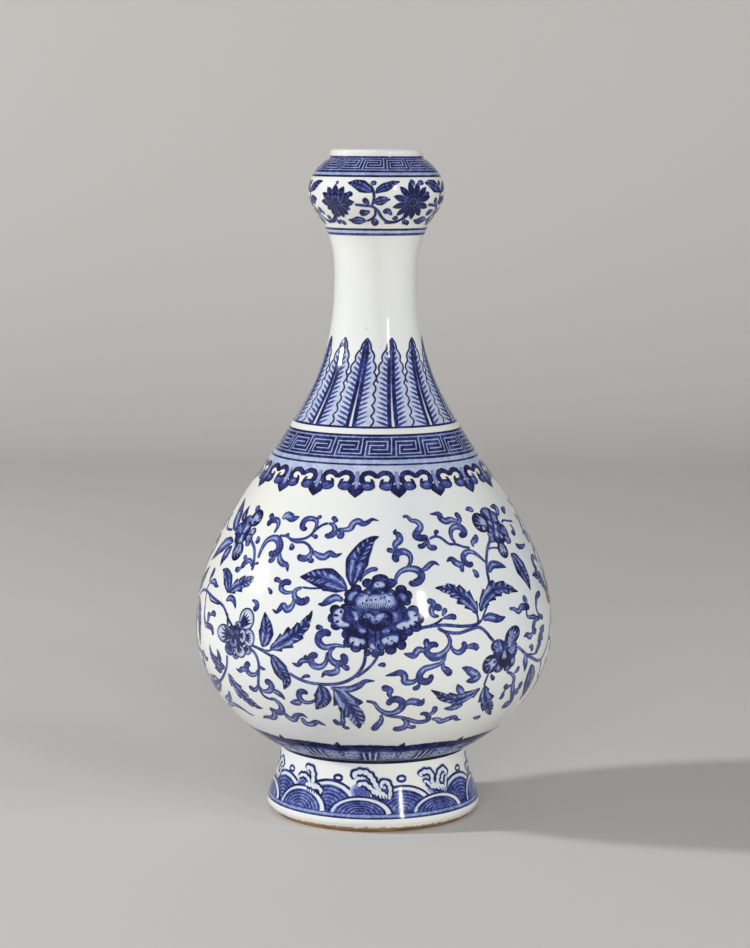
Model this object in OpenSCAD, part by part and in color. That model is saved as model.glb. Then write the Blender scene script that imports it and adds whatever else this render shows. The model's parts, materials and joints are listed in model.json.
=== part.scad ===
// Garlic head vase: a thrown porcelain vase in five sections, luted together with slip and glazed.
// Every section is a slice of one outline curve, so all faces that meet are the same face.
// The vase stands on Z = 0 with its axis on Z. Sizes are in millimetres.

/* [Foot] */
// Height of the foot, from the table to the joint under the body
foot_h = 28.8; // [26:0.2:32]
// Radius at the top of the foot
foot_top_r = 39.3; // [37.5:0.1:41]
// How far the foot's widest ring stands out past its top
flare_out = 5.9; // [5:0.1:8]
// Height of the foot's widest ring
flare_z = 4.2; // [3.6:0.1:6]
// How far the resting rim's outer edge lies inside the widest ring
rest_tuck = 3.5; // [2:0.1:4.5]
// Width of the flat that the vase stands on
rest_w = 3.5; // [2.5:0.5:4.5]
// Height of the bare rim below the glaze
bare_h = 2; // [1.5:0.25:2.5]
// How far the glaze's lower edge lies inside the widest ring
glaze_edge_tuck = 1.2; // [0.6:0.1:1.8]
// Slope of the foot where the glaze ends, in degrees above level
flare_slope = 60; // [50:1:70]
// Thickness of the foot's wall at its top
foot_wall = 5; // [4:0.5:6]

/* [Body] */
// Height from the foot joint to the widest ring of the belly
bowl_h = 51; // [48:0.5:56]
// Radius of the belly
belly_r = 75.7; // [73:0.1:79]
// Height from the widest ring to the neck joint
shoulder_h = 82.5; // [78:0.5:87]
// Radius at the neck joint
shoulder_r = 37.2; // [35:0.1:39]
// Slope of the body at the foot joint, in degrees above level
under_slope = 26.5; // [22:0.5:30]
// Slope of the shoulder at the neck joint, in degrees from level
shoulder_slope = 59; // [55:0.5:63]

/* [Neck] */
// Height from the neck joint to the narrowest ring
neck_low_h = 65; // [62:0.5:70]
// Radius of the narrowest ring
neck_r = 17.3; // [16:0.1:18.4]
// Height from the narrowest ring to the head joint
neck_high_h = 21.6; // [20:0.1:24]

/* [Garlic head] */
// Radius at the head joint
head_joint_r = 21.8; // [20.8:0.1:22.8]
// Slope of the head at its joint, in degrees above level
head_slope = 64; // [60:0.5:68]
// Height from the head joint to the bulb's widest ring
bulb_low_h = 13.5; // [12.5:0.1:15]
// Radius of the bulb
bulb_r = 28.3; // [27:0.1:30]
// Height from the bulb's widest ring to the lip
bulb_high_h = 14.1; // [13:0.1:15]
// Slope of the bulb under the lip, in degrees above level
bulb_slope = 34; // [30:0.5:38]
// Outer radius of the lip
lip_r = 19.3; // [18.4:0.1:20.4]
// Height of the lip
lip_h = 3.5; // [3:0.5:4.5]
// Thickness of the glazed lip
lip_t = 3; // [2.8:0.1:3.4]

/* [Walls and layers] */
// Thickness of the fired clay at the foot joint
base_wall = 5; // [4.5:0.25:5.5]
// Thickness of the fired clay under the lip
top_wall = 2.6; // [2.4:0.1:3]
// Thickness of every coat of glaze
glaze_t = 0.4; // [0.3:0.05:0.5]
// Thickness of the slip in a luted joint
slip_t = 0.8; // [0.5:0.1:1.2]

/* [Curve fullness] */
// Pull of the outline at the top of the foot
foot_top_pull = 0.39; // [0.33:0.01:0.45]
// Pull of the outline at the foot's widest ring
foot_pull = 0.12; // [0.08:0.01:0.2]
// Pull of the outline just above the foot joint
under_pull = 0.32; // [0.26:0.01:0.36]
// Pull of the outline at the belly
belly_pull = 0.37; // [0.33:0.01:0.41]
// Pull of the outline at the neck joint
shoulder_pull = 0.27; // [0.23:0.01:0.33]
// Pull of the outline at the narrowest ring of the neck
neck_pull = 0.52; // [0.44:0.01:0.56]
// Pull of the outline at the head joint
head_pull = 0.24; // [0.2:0.01:0.3]
// Pull of the outline at the bulb and under the lip
bulb_pull = 0.385; // [0.35:0.005:0.42]

/* [Hidden] */
$fn = 96;
// Straight steps that stand for one span of the outline
SPAN_STEPS = 18;
// Straight steps that stand for the lip's round top
LIP_STEPS = 10;

flare_r = foot_top_r + flare_out;
rest_r = flare_r - rest_tuck;
glaze_edge_r = flare_r - glaze_edge_tuck;

belly_z = foot_h + bowl_h;
shoulder_z = belly_z + shoulder_h;
neck_z = shoulder_z + neck_low_h;
head_z = neck_z + neck_high_h;
bulb_z = head_z + bulb_low_h;
lip_z = bulb_z + bulb_high_h;
vase_h = lip_z + lip_h;

// Layers of the wall, counted inwards from the surface that a hand touches
SURFACE = 0;
CLAY_OUT = 1;
CLAY_IN = 2;
LINING = 3;

// A span of the outline: start, its heading, end, its heading, pull at the start, pull at the end
UP = 90;
flare_span = [[glaze_edge_r, bare_h], flare_slope, [flare_r, flare_z], UP, foot_pull, foot_pull];
foot_span = [[flare_r, flare_z], UP, [foot_top_r, foot_h], UP, foot_pull, foot_top_pull];
bowl_span = [[foot_top_r, foot_h], under_slope, [belly_r, belly_z], UP, under_pull, belly_pull];
shoulder_span =
    [[belly_r, belly_z], UP, [shoulder_r, shoulder_z], 180 - shoulder_slope, belly_pull, shoulder_pull];
neck_low_span =
    [[shoulder_r, shoulder_z], 180 - shoulder_slope, [neck_r, neck_z], UP, shoulder_pull, neck_pull];
neck_high_span = [[neck_r, neck_z], UP, [head_joint_r, head_z], head_slope, neck_pull, head_pull];
bulb_low_span = [[head_joint_r, head_z], head_slope, [bulb_r, bulb_z], UP, head_pull, bulb_pull];
bulb_high_span = [[bulb_r, bulb_z], UP, [lip_r, lip_z], 180 - bulb_slope, bulb_pull, bulb_pull];

foot_spans = [flare_span, foot_span];
bowl_spans = [bowl_span];
shoulder_spans = [shoulder_span];
neck_spans = [neck_low_span, neck_high_span];
head_spans = [bulb_low_span, bulb_high_span];

function heading(angle) = [cos(angle), sin(angle)];
function inward(v) = [-v[1], v[0]] / norm(v);
function reversed(list) = [for (i = [len(list) - 1:-1:0]) list[i]];

// Bezier handles of a span, and its point and direction at t from 0 to 1
function handles(s) =
    let (reach = norm(s[2] - s[0]))
    [s[0], s[0] + reach * s[4] * heading(s[1]), s[2] - reach * s[5] * heading(s[3]), s[2]];
function bezier(h, t) =
    pow(1 - t, 3) * h[0] + 3 * pow(1 - t, 2) * t * h[1] + 3 * (1 - t) * t * t * h[2] + pow(t, 3) * h[3];
function direction(h, t) =
    pow(1 - t, 2) * (h[1] - h[0]) + 2 * (1 - t) * t * (h[2] - h[1]) + t * t * (h[3] - h[2]);

// The clay thins evenly from the foot joint to the lip
function wall_at(z) = base_wall + (top_wall - base_wall) * (z - foot_h) / (lip_z - foot_h);
function depth(layer, z) =
    layer == SURFACE ? 0 :
    layer == CLAY_OUT ? glaze_t :
    layer == CLAY_IN ? glaze_t + wall_at(z) :
    wall_at(z) + 2 * glaze_t;

// Point of a span on one layer of the wall, moved along the outline by shift
function layer_point(s, t, layer, shift) =
    let (h = handles(s))
    let (p = bezier(h, t))
    let (d = direction(h, t))
    p + inward(d) * depth(layer, p[1]) + d / norm(d) * shift;

// One layer along a chain of spans, starting lead after its first end and stopping trail before its last
function course(spans, layer, lead, trail) = [
    for (k = [0:len(spans) - 1])
    for (i = [(k == 0 ? 0 : 1):SPAN_STEPS])
    let (first = k == 0 && i == 0)
    let (last = k == len(spans) - 1 && i == SPAN_STEPS)
    layer_point(spans[k], i / SPAN_STEPS, layer, first ? lead : last ? -trail : 0)
];

half_slip = slip_t / 2;
// Radius of the inside of the foot at its top and at the resting rim
foot_in_top_r = foot_top_r - glaze_t - foot_wall;
foot_in_rest_r = rest_r - rest_w;
// Underside of the body, and the top face of the foot below the slip
foot_face_z = foot_h - slip_t;
// The foot's side, up to its flat top
foot_side = [for (p = course(foot_spans, CLAY_OUT, 0, 0)) if (p[1] < foot_face_z) p];
function foot_in_r(z) =
    foot_in_rest_r + (foot_in_top_r - foot_in_rest_r) * (z - bare_h) / (foot_face_z - bare_h);

// The lip: a half round on the straight throat
lip_mid = [lip_r - lip_t / 2, vase_h - lip_t / 2];
function lip_arc(radius, from, to) = [
    for (i = [0:LIP_STEPS])
    lip_mid + radius * heading(from + (to - from) * i / LIP_STEPS)
];
throat_r = lip_r - lip_t;
// Where the slope inside the bulb runs out into the throat, on one layer
function throat_foot(layer, r) =
    let (p = layer_point(bulb_high_span, 1, layer, 0))
    [r, p[1] + (p[0] - r) * tan(bulb_slope)];

// Outer and inner outline of the whole clay body, across the joints
outer_spans = [bowl_spans, shoulder_spans, neck_spans, head_spans];
function lead_of(k) = k == 0 ? 0 : half_slip;
function trail_of(k) = k == len(outer_spans) - 1 ? 0 : half_slip;
function body_course(layer) = [
    for (k = [0:len(outer_spans) - 1])
    for (p = course(outer_spans[k], layer, lead_of(k), trail_of(k)))
    p
];

// A thrown section with parallel ends, as an outline to revolve
function section(k) = concat(
    course(outer_spans[k], CLAY_OUT, lead_of(k), trail_of(k)),
    reversed(course(outer_spans[k], CLAY_IN, lead_of(k), trail_of(k)))
);

// Slip that fills the joint at the start of a span
function joint(s) = [
    layer_point(s, 0, CLAY_OUT, -half_slip),
    layer_point(s, 0, CLAY_OUT, half_slip),
    layer_point(s, 0, CLAY_IN, half_slip),
    layer_point(s, 0, CLAY_IN, -half_slip)
];

module turned(outline) {
    rotate_extrude() polygon(outline);
}

module foot_ring() {
    color("#b98a63")
    turned(concat(
        [[foot_in_rest_r, 0], [rest_r, 0]],
        foot_side,
        [[foot_top_r - glaze_t, foot_face_z], [foot_in_top_r, foot_face_z], [foot_in_rest_r, bare_h]]
    ));
}

module foot_luting() {
    color("#d9cdb8")
    turned([
        [foot_in_top_r, foot_face_z],
        [foot_top_r - glaze_t, foot_face_z],
        [foot_top_r - glaze_t, foot_h],
        [foot_in_top_r, foot_h]
    ]);
}

module lower_body() {
    inside = layer_point(bowl_span, 0, CLAY_IN, 0);
    color("#ece6da")
    turned(concat(
        [[0, foot_h], [foot_top_r - glaze_t, foot_h]],
        section(0),
        [[0, inside[1]]]
    ));
}

module belly_luting() {
    color("#d9cdb8") turned(joint(shoulder_span));
}

module shoulder() {
    color("#ece6da") turned(section(1));
}

module neck_luting() {
    color("#d9cdb8") turned(joint(neck_low_span));
}

module neck() {
    color("#ece6da") turned(section(2));
}

module head_luting() {
    color("#d9cdb8") turned(joint(bulb_low_span));
}

module garlic_head() {
    color("#ece6da")
    turned(concat(
        course(head_spans, CLAY_OUT, half_slip, 0),
        lip_arc(lip_t / 2 - glaze_t, 0, 180),
        [throat_foot(CLAY_IN, throat_r + glaze_t)],
        reversed(course(head_spans, CLAY_IN, half_slip, 0))
    ));
}

// The painted coat outside, from the bare rim to the crest of the lip
module outer_glaze() {
    color("#dfe5ec")
    turned(concat(
        course(foot_spans, SURFACE, 0, 0),
        body_course(SURFACE),
        lip_arc(lip_t / 2, 0, 90),
        lip_arc(lip_t / 2 - glaze_t, 90, 0),
        reversed(body_course(CLAY_OUT)),
        [[foot_top_r - glaze_t, foot_h], [foot_top_r - glaze_t, foot_face_z]],
        reversed(foot_side)
    ));
}

// The coat inside, from the middle of the floor to the crest of the lip
module inner_glaze() {
    floor_clay = layer_point(bowl_span, 0, CLAY_IN, 0);
    floor_top = layer_point(bowl_span, 0, LINING, 0);
    color("#dfe5ec")
    turned(concat(
        [[0, floor_clay[1]]],
        body_course(CLAY_IN),
        [throat_foot(CLAY_IN, throat_r + glaze_t)],
        lip_arc(lip_t / 2 - glaze_t, 180, 90),
        lip_arc(lip_t / 2, 90, 180),
        [throat_foot(LINING, throat_r)],
        reversed(body_course(LINING)),
        [[0, floor_top[1]]]
    ));
}

// The coat inside the foot and under the body
module base_glaze() {
    color("#dfe5ec")
    turned([
        [0, foot_h],
        [foot_in_top_r, foot_h],
        [foot_in_top_r, foot_face_z],
        [foot_in_r(bare_h), bare_h],
        [foot_in_r(bare_h) - glaze_t, bare_h],
        [foot_in_top_r - glaze_t, foot_face_z],
        [foot_in_top_r - glaze_t, foot_h - glaze_t],
        [0, foot_h - glaze_t]
    ]);
}

foot_ring();
lower_body();
shoulder();
neck();
garlic_head();
foot_luting();
belly_luting();
neck_luting();
head_luting();
outer_glaze();
inner_glaze();
base_glaze();
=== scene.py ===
# %% [markdown]
# # A garlic head vase, painted in underglaze blue
# The vase is porcelain: thrown in sections, painted with cobalt, dipped in clear glaze and fired. The solids come
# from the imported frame. Here the glaze is turned again as one smooth surface, and the painting is laid on it
# stroke by stroke, as the painter did, in two numbers: degrees round from the front, and millimetres along
# the outline from the foot.

# %% Load the frame
import json
import math

import bmesh
import bpy
import numpy as np
from mathutils import Matrix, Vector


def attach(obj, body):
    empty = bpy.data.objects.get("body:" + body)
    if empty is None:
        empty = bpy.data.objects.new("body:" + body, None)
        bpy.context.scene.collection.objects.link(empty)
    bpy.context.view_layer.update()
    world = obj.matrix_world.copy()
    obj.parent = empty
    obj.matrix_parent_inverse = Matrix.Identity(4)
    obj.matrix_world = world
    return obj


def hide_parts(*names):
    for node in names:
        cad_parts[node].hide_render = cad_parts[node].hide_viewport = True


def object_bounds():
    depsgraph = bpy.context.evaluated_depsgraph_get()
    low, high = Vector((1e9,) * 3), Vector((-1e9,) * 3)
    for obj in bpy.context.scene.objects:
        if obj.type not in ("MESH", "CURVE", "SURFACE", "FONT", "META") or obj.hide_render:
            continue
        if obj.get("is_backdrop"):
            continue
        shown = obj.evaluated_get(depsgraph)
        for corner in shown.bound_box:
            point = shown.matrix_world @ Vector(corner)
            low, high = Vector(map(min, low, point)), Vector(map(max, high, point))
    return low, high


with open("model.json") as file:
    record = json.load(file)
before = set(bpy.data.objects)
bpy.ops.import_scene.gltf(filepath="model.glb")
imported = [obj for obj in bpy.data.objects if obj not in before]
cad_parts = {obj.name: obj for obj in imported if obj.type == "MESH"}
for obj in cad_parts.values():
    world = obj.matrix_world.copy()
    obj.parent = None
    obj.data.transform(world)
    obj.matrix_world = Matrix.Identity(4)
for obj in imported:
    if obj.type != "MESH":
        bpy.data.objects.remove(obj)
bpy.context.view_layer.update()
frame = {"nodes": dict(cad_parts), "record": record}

MM = 0.001

# %% [markdown]
# ## The outline
# Everything is turned or painted on the outline of the glaze, so it is read back from the frame. A coat of glaze
# has two sides: the faces of its outer side look away from the axis. Their rings, sorted by height, are the
# outline, and a cubic through them takes the flats out while the sharp corners stay. At the widest ring the glaze
# is drawn in by a quarter of a millimetre, so that the painting on it stays within the solids' size.

# %% Read an outline from a turned node
TINY, FACING, SAME_RING = 1e-12, 0.02, 0.03


def ring_outline(node, sign):
    """Rings (radius, height) in mm of a turned node, on faces whose normal points away from the axis (sign 1)
    or towards it (sign -1), sorted by height."""
    mesh = frame["nodes"][node].data
    mesh.calc_loop_triangles()
    points = np.empty(len(mesh.vertices) * 3)
    mesh.vertices.foreach_get("co", points)
    points = points.reshape(-1, 3) / MM
    corners = np.empty(len(mesh.loop_triangles) * 3, int)
    mesh.loop_triangles.foreach_get("vertices", corners)
    corners = corners.reshape(-1, 3)
    a, b, c = points[corners[:, 0]], points[corners[:, 1]], points[corners[:, 2]]
    normal = np.cross(b - a, c - a)
    middle = (a + b + c) / 3
    outward = (normal[:, :2] * middle[:, :2]).sum(1)
    outward /= np.linalg.norm(normal, axis=1) * np.hypot(middle[:, 0], middle[:, 1]) + TINY
    used = points[corners[outward * sign > FACING].ravel()]
    rings = np.unique(np.stack([used[:, 2], np.hypot(used[:, 0], used[:, 1])], 1).round(3), axis=0)
    apart = np.hypot(*np.diff(rings, axis=0).T) > SAME_RING
    rings = rings[np.append(True, apart)]
    return rings[:, ::-1]


def rounded(points, steps=4, corner=25):
    """Hermite cubic through a polyline: each point takes the direction of its neighbours' chord,
    but a point where the line turns by more than corner degrees keeps both of its own directions."""
    step = np.diff(points, axis=0)
    length = np.hypot(*step.T)
    along = step / length[:, None]
    chord = points[2:] - points[:-2]
    chord /= np.hypot(*chord.T)[:, None]
    sharp = (along[1:] * along[:-1]).sum(1) < math.cos(math.radians(corner))
    leave = np.vstack([along[:1], np.where(sharp[:, None], along[1:], chord)])
    arrive = np.vstack([np.where(sharp[:, None], along[:-1], chord), along[-1:]])
    t = (np.arange(steps) / steps)[None, :, None]
    start, end = points[:-1, None], points[1:, None]
    pull = length[:, None, None]
    curve = (
        (2 * t**3 - 3 * t**2 + 1) * start
        + (t**3 - 2 * t**2 + t) * leave[:, None] * pull
        + (3 * t**2 - 2 * t**3) * end
        + (t**3 - t**2) * arrive[:, None] * pull
    )
    return np.vstack([curve.reshape(-1, 2), points[-1:]])


PAINT_ROOM, ROOM_REACH, RIM_RUN = 0.24, 20, -0.85
outer = rounded(ring_outline("outer_glaze", 1))
RUN = RIM_RUN + np.append(0, np.cumsum(np.hypot(*np.diff(outer, axis=0).T)))
WIDEST = np.argmax(outer[:, 0])
outer[:, 0] -= PAINT_ROOM * np.exp(-((RUN - RUN[WIDEST]) / ROOM_REACH) ** 2)
slope = np.gradient(outer, RUN, axis=0)
slope /= np.hypot(*slope.T)[:, None]
print("Outline:", len(outer), "rings,", round(RUN[-1] - RUN[0], 1), "mm from the bare rim to the crest of the lip")


# %% Find a place on the glaze
def radius_at(run):
    """Radius of the glaze in mm, run mm along the outline."""
    return np.interp(run, RUN, outer[:, 0])


def degree_at(run):
    """Length in mm of one degree round the glaze, run mm along the outline."""
    return np.radians(1) * radius_at(run)


def on_glaze(turn, run, lift):
    """Points in metres at turn degrees round from the front (-Y) and run mm along the outline,
    lifted off the glaze along its normal by lift mm. Also returns the normals."""
    tall = np.interp(run, RUN, slope[:, 0]), np.interp(run, RUN, slope[:, 1])
    size = np.hypot(*tall)
    away, up = tall[1] / size, -tall[0] / size
    r = radius_at(run) + away * lift
    z = np.interp(run, RUN, outer[:, 1]) + up * lift
    angle = np.radians(turn)
    point = np.stack([r * np.sin(angle), -r * np.cos(angle), z], -1) * MM
    normal = np.stack([away * np.sin(angle), -away * np.cos(angle), up], -1)
    return point, normal


# %% [markdown]
# ## Glaze and cobalt
# One finish covers the vase, because one glaze lies over both the bare white and the blue. A number on each
# point, called ink, says how much cobalt lies under the glaze there: 0 is bare, 1 is the darkest. Cobalt fires
# unevenly, so fine noise breaks up the ink, and the white has a faint cool and warm drift.

# %% Colours
def srgb(red, green, blue):
    """Screen colour from 0 to 255 as a linear colour for the shader."""
    share = np.array([red, green, blue]) / 255
    linear = np.where(share <= 0.04045, share / 12.92, ((share + 0.055) / 1.055) ** 2.4)
    return (*linear.tolist(), 1.0)


WHITE_COOL = srgb(222, 226, 228)
WHITE_WARM = srgb(230, 230, 223)
COBALT = [
    (0.0, srgb(226, 229, 228)),
    (0.22, srgb(160, 175, 209)),
    (0.48, srgb(80, 94, 160)),
    (0.74, srgb(46, 53, 114)),
    (1.0, srgb(25, 25, 60)),
]
SPECK, BURNT = srgb(178, 180, 184), srgb(150, 114, 74)
print("Cobalt:", len(COBALT), "tones, from bare glaze to nearly black")


# %% Short ways to lay out nodes
class Graph:
    """A node tree with short ways to add to it. A value may be a socket, a number or a colour."""

    def __init__(self, tree):
        self.nodes, self.links = tree.nodes, tree.links
        self.place = self.nodes.new("ShaderNodeTexCoord").outputs["Object"]

    def give(self, value, socket):
        """Links another socket, or sets a plain value."""
        if isinstance(value, bpy.types.NodeSocket):
            self.links.new(value, socket)
        else:
            socket.default_value = value

    def add(self, kind, **values):
        """A new node with values on its named inputs."""
        node = self.nodes.new(kind)
        for name, value in values.items():
            self.give(value, node.inputs[name.replace("_", " ")])
        return node

    def noise(self, scale, detail):
        """Noise on the piece's own coordinates."""
        return self.add("ShaderNodeTexNoise", Vector=self.place, Scale=scale, Detail=detail).outputs["Fac"]

    def ranged(self, value, low, high, to_low=0, to_high=1):
        """Maps a value's range to another, clamped."""
        ends = {"From_Min": low, "From_Max": high, "To_Min": to_low, "To_Max": to_high}
        return self.add("ShaderNodeMapRange", Value=value, **ends).outputs["Result"]

    def sum(self, operation, *values):
        """One sum on one or two values."""
        node = self.nodes.new("ShaderNodeMath")
        node.operation = operation
        for value, socket in zip(values, node.inputs):
            self.give(value, socket)
        return node.outputs[0]

    def mixed(self, share, first, second):
        """Blend of two colours. Inputs 0, 6 and 7 of the node are the ones for colours."""
        node = self.nodes.new("ShaderNodeMix")
        node.data_type = "RGBA"
        for value, k in ((share, 0), (first, 6), (second, 7)):
            self.give(value, node.inputs[k])
        return node.outputs[2]

    def split(self):
        """X, Y and Z of the piece's own coordinates."""
        return self.add("ShaderNodeSeparateXYZ", Vector=self.place).outputs

    def shade(self, colour, roughness, height=None, strength=0.0, distance=0.0):
        """Sends a colour, and a height through a bump, to the Principled shader, and returns its inputs."""
        shader = self.nodes["Principled BSDF"].inputs
        shader["Roughness"].default_value = roughness
        self.links.new(colour, shader["Base Color"])
        if height is not None:
            bump = self.add("ShaderNodeBump", Strength=strength, Distance=distance, Height=height)
            self.links.new(bump.outputs["Normal"], shader["Normal"])
        return shader


def new_material(name):
    """A material and its graph."""
    material = bpy.data.materials.new(name)
    material.use_nodes = True
    return material, Graph(material.node_tree)


# %% Glaze white, a group that every glazed piece shares
def glaze_white_group():
    """Colour of bare glaze: a slow drift between cool and warm white, with faint grey specks;
    and Height, the slight waviness of a hand-dipped coat."""
    group = bpy.data.node_groups.new("glaze_white", "ShaderNodeTree")
    group.interface.new_socket("Color", in_out="OUTPUT", socket_type="NodeSocketColor")
    group.interface.new_socket("Height", in_out="OUTPUT", socket_type="NodeSocketFloat")
    graph = Graph(group)
    white = graph.mixed(graph.ranged(graph.noise(14, 2), 0.35, 0.65), WHITE_COOL, WHITE_WARM)
    white = graph.mixed(graph.ranged(graph.noise(520, 1), 0.74, 0.8, 0, 0.35), white, SPECK)
    graph.add("NodeGroupOutput", Color=white, Height=graph.noise(55, 1))
    return group


GLAZE_WHITE = glaze_white_group()
print("Node group:", GLAZE_WHITE.name)


# %% Glaze, biscuit and clay
def painted_glaze_material(name, gloss):
    """Glaze over cobalt: the ink attribute, broken by two sizes of noise, picks the blue from a ramp. Where the
    glaze thins out above the bare rim the body burnt brown shows through."""
    material, graph = new_material(name)
    white = graph.nodes.new("ShaderNodeGroup")
    white.node_tree = GLAZE_WHITE
    ink = graph.nodes.new("ShaderNodeAttribute")
    ink.attribute_name = "ink"
    pooled = graph.ranged(graph.noise(260, 2), 0.3, 0.7, 0.76, 1.22)
    heaped = graph.ranged(graph.noise(950, 1), 0.35, 0.7, 0.9, 1.3)
    uneven = graph.sum("MULTIPLY", graph.sum("MULTIPLY", ink.outputs["Fac"], pooled), heaped)
    ramp = graph.add("ShaderNodeValToRGB", Fac=uneven)
    stops = ramp.color_ramp.elements
    stops[0].color, stops[1].color = COBALT[0][1], COBALT[-1][1]
    for position, colour in COBALT[1:-1]:
        stops.new(position).color = colour
    cover = graph.ranged(ink.outputs["Fac"], 0, 0.12)
    colour = graph.mixed(cover, white.outputs["Color"], ramp.outputs["Color"])
    ragged = graph.ranged(graph.noise(500, 2), 0.3, 0.7, -0.0004, 0.0004)
    burnt = graph.ranged(graph.sum("ADD", graph.split()["Z"], ragged), 0.0021, 0.0027, 0.9, 0)
    colour = graph.mixed(burnt, colour, BURNT)
    shader = graph.shade(colour, 0.1, white.outputs["Height"], 0.12, 0.0006)
    shader["IOR"].default_value = 1.5
    shader["Specular IOR Level"].default_value = gloss
    return material


def bare_rim_material():
    """Unglazed rim: burnt brown body, mottled, with darker grit and a rough surface."""
    material, graph = new_material("biscuit")
    burn = graph.ranged(graph.noise(90, 3), 0.35, 0.65)
    colour = graph.mixed(burn, srgb(140, 108, 76), srgb(180, 148, 110))
    grit = graph.noise(1400, 2)
    colour = graph.mixed(graph.ranged(grit, 0.55, 0.75, 0, 0.7), colour, srgb(84, 62, 48))
    graph.shade(colour, 0.75, grit, 0.5, 0.0003)
    return material


def clay_material(name, light, dark):
    """Fired clay under the glaze: two close tones, matt."""
    material, graph = new_material(name)
    graph.shade(graph.mixed(graph.noise(300, 3), light, dark), 0.7)
    return material


PAINTED_GLAZE = painted_glaze_material("painted_glaze", 0.5)
DULL_GLAZE = painted_glaze_material("dull_painted_glaze", 0.06)
BARE_RIM = bare_rim_material()
HIDDEN_CLAY = {
    "porcelain_body": clay_material("porcelain_body", srgb(236, 230, 218), srgb(220, 212, 198)),
    "luting_slip": clay_material("luting_slip", srgb(222, 212, 194), srgb(204, 192, 172)),
}
for part in frame["record"]["subparts"]:
    if part["material_slot"] in HIDDEN_CLAY:
        mesh = frame["nodes"][part["node"]].data
        mesh.materials.clear()
        mesh.materials.append(HIDDEN_CLAY[part["material_slot"]])
print("Materials:", [m.name for m in (PAINTED_GLAZE, DULL_GLAZE, BARE_RIM, *HIDDEN_CLAY.values())])

# %% [markdown]
# ## Turning the glaze
# The glaze could stay as the frame's stack of cones, but cones glint in bands. Turning the rounded outline again
# on a grid of heights and angles gives one clean surface, from the bare rim over the lip and down inside to the
# middle of the floor. The bare foot and the coat under the base are turned in the same way.

# %% Turn an outline
TURN_STEPS, FLOOR_RINGS = 240, 8
MERGED, SLIVER = 1e-6, 1e-7


def grid_quads(rows, columns, first=0):
    """Quads between neighbours on a grid whose points are numbered row by row from first."""
    index = first + np.arange(rows * columns).reshape(rows, columns)
    return np.stack([index[:-1, :-1], index[:-1, 1:], index[1:, 1:], index[1:, :-1]], -1).reshape(-1, 4)


def new_piece(name, points, quads, material):
    """A smooth piece from points in metres and the quads between them."""
    mesh = bpy.data.meshes.new(name)
    mesh.from_pydata(points.reshape(-1, 3).tolist(), [], quads.tolist())
    mesh.polygons.foreach_set("use_smooth", np.ones(len(quads), bool))
    mesh.materials.append(material)
    piece = bpy.data.objects.new(name, mesh)
    bpy.context.collection.objects.link(piece)
    return piece


def turned_piece(name, outline, material, nodes, closed=False):
    """Surface of revolution: every outline point (radius, height) times every angle, as one grid.
    A point on the axis closes the grid; closed joins the outline's end to its start."""
    angle = np.linspace(0, 2 * math.pi, TURN_STEPS, endpoint=False)
    ring = np.stack([np.sin(angle), -np.cos(angle)], 1)
    radius, height = outline[:, 0], outline[:, 1]
    points = np.empty((len(outline), TURN_STEPS, 3))
    points[..., :2] = radius[:, None, None] * ring[None]
    points[..., 2] = height[:, None]
    index = np.arange(points[..., 0].size).reshape(points.shape[:2])
    above = np.roll(index, -1, axis=0) if closed else index[1:]
    below = index if closed else index[:-1]
    quads = np.stack([below, np.roll(below, -1, 1), np.roll(above, -1, 1), above], -1).reshape(-1, 4)
    piece = new_piece(name, points * MM, quads, material)
    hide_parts(*nodes)
    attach(piece, "root")
    print(name, len(quads), "faces")
    return piece


def thinned(outline, step, bend):
    """Fewer points for turning: one for each step in millimetres or bend in degrees that the outline goes on."""
    way = np.diff(outline, axis=0)
    heading = np.unwrap(np.arctan2(way[:, 1], way[:, 0]))
    spent = np.hypot(way[:, 0], way[:, 1]) / step + np.abs(np.gradient(np.degrees(heading))) / bend
    gone = np.concatenate([[0], np.cumsum(spent)])
    kept = np.searchsorted(gone, np.arange(0, gone[-1]))
    return outline[np.unique(np.append(kept, len(outline) - 1))]


def to_axis(outline):
    """The outline, and from its last point level rings inwards to the axis."""
    radius, height = outline[-1]
    inward = np.linspace(radius, 0, FLOOR_RINGS + 1)[1:]
    return np.vstack([outline, np.stack([inward, np.full(FLOOR_RINGS, height)], 1)])


def close_poles(piece):
    """Merges the ring of points on the axis into one."""
    work = bmesh.new()
    work.from_mesh(piece.data)
    bmesh.ops.remove_doubles(work, verts=work.verts, dist=MERGED)
    bmesh.ops.dissolve_degenerate(work, edges=work.edges, dist=SLIVER)
    work.to_mesh(piece.data)
    work.free()


# %% Glaze outside and inside, in one piece
lining = rounded(ring_outline("inner_glaze", -1))[::-1]
glaze_skin = turned_piece(
    "glaze_skin", np.vstack([thinned(outer, 1.8, 4.5), to_axis(thinned(lining, 5, 8)[1:])]), PAINTED_GLAZE,
    ["outer_glaze", "inner_glaze"],
)
close_poles(glaze_skin)

# %% Bare foot and the coat under the base
foot_outline = np.vstack([ring_outline("foot_ring", 1), ring_outline("foot_ring", -1)[::-1]])
turned_piece("bare_foot", foot_outline, BARE_RIM, ["foot_ring"], closed=True)
base_coat = turned_piece(
    "base_coat", to_axis(ring_outline("base_glaze", -1))[::-1], PAINTED_GLAZE, ["base_glaze"]
)
close_poles(base_coat)

# %% [markdown]
# ## The brush
# A painter loads a brush, presses and lifts. So a stroke here is a path whose points carry a half width: the path
# is rounded, cut into even steps, and widened on both sides across the glaze. The ink is darker near the
# stroke's own edge, where cobalt gathers, which gives outlined petals and leaves for the same price as plain
# lines. Strokes are gathered on sheets, and each sheet becomes one piece.

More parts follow.
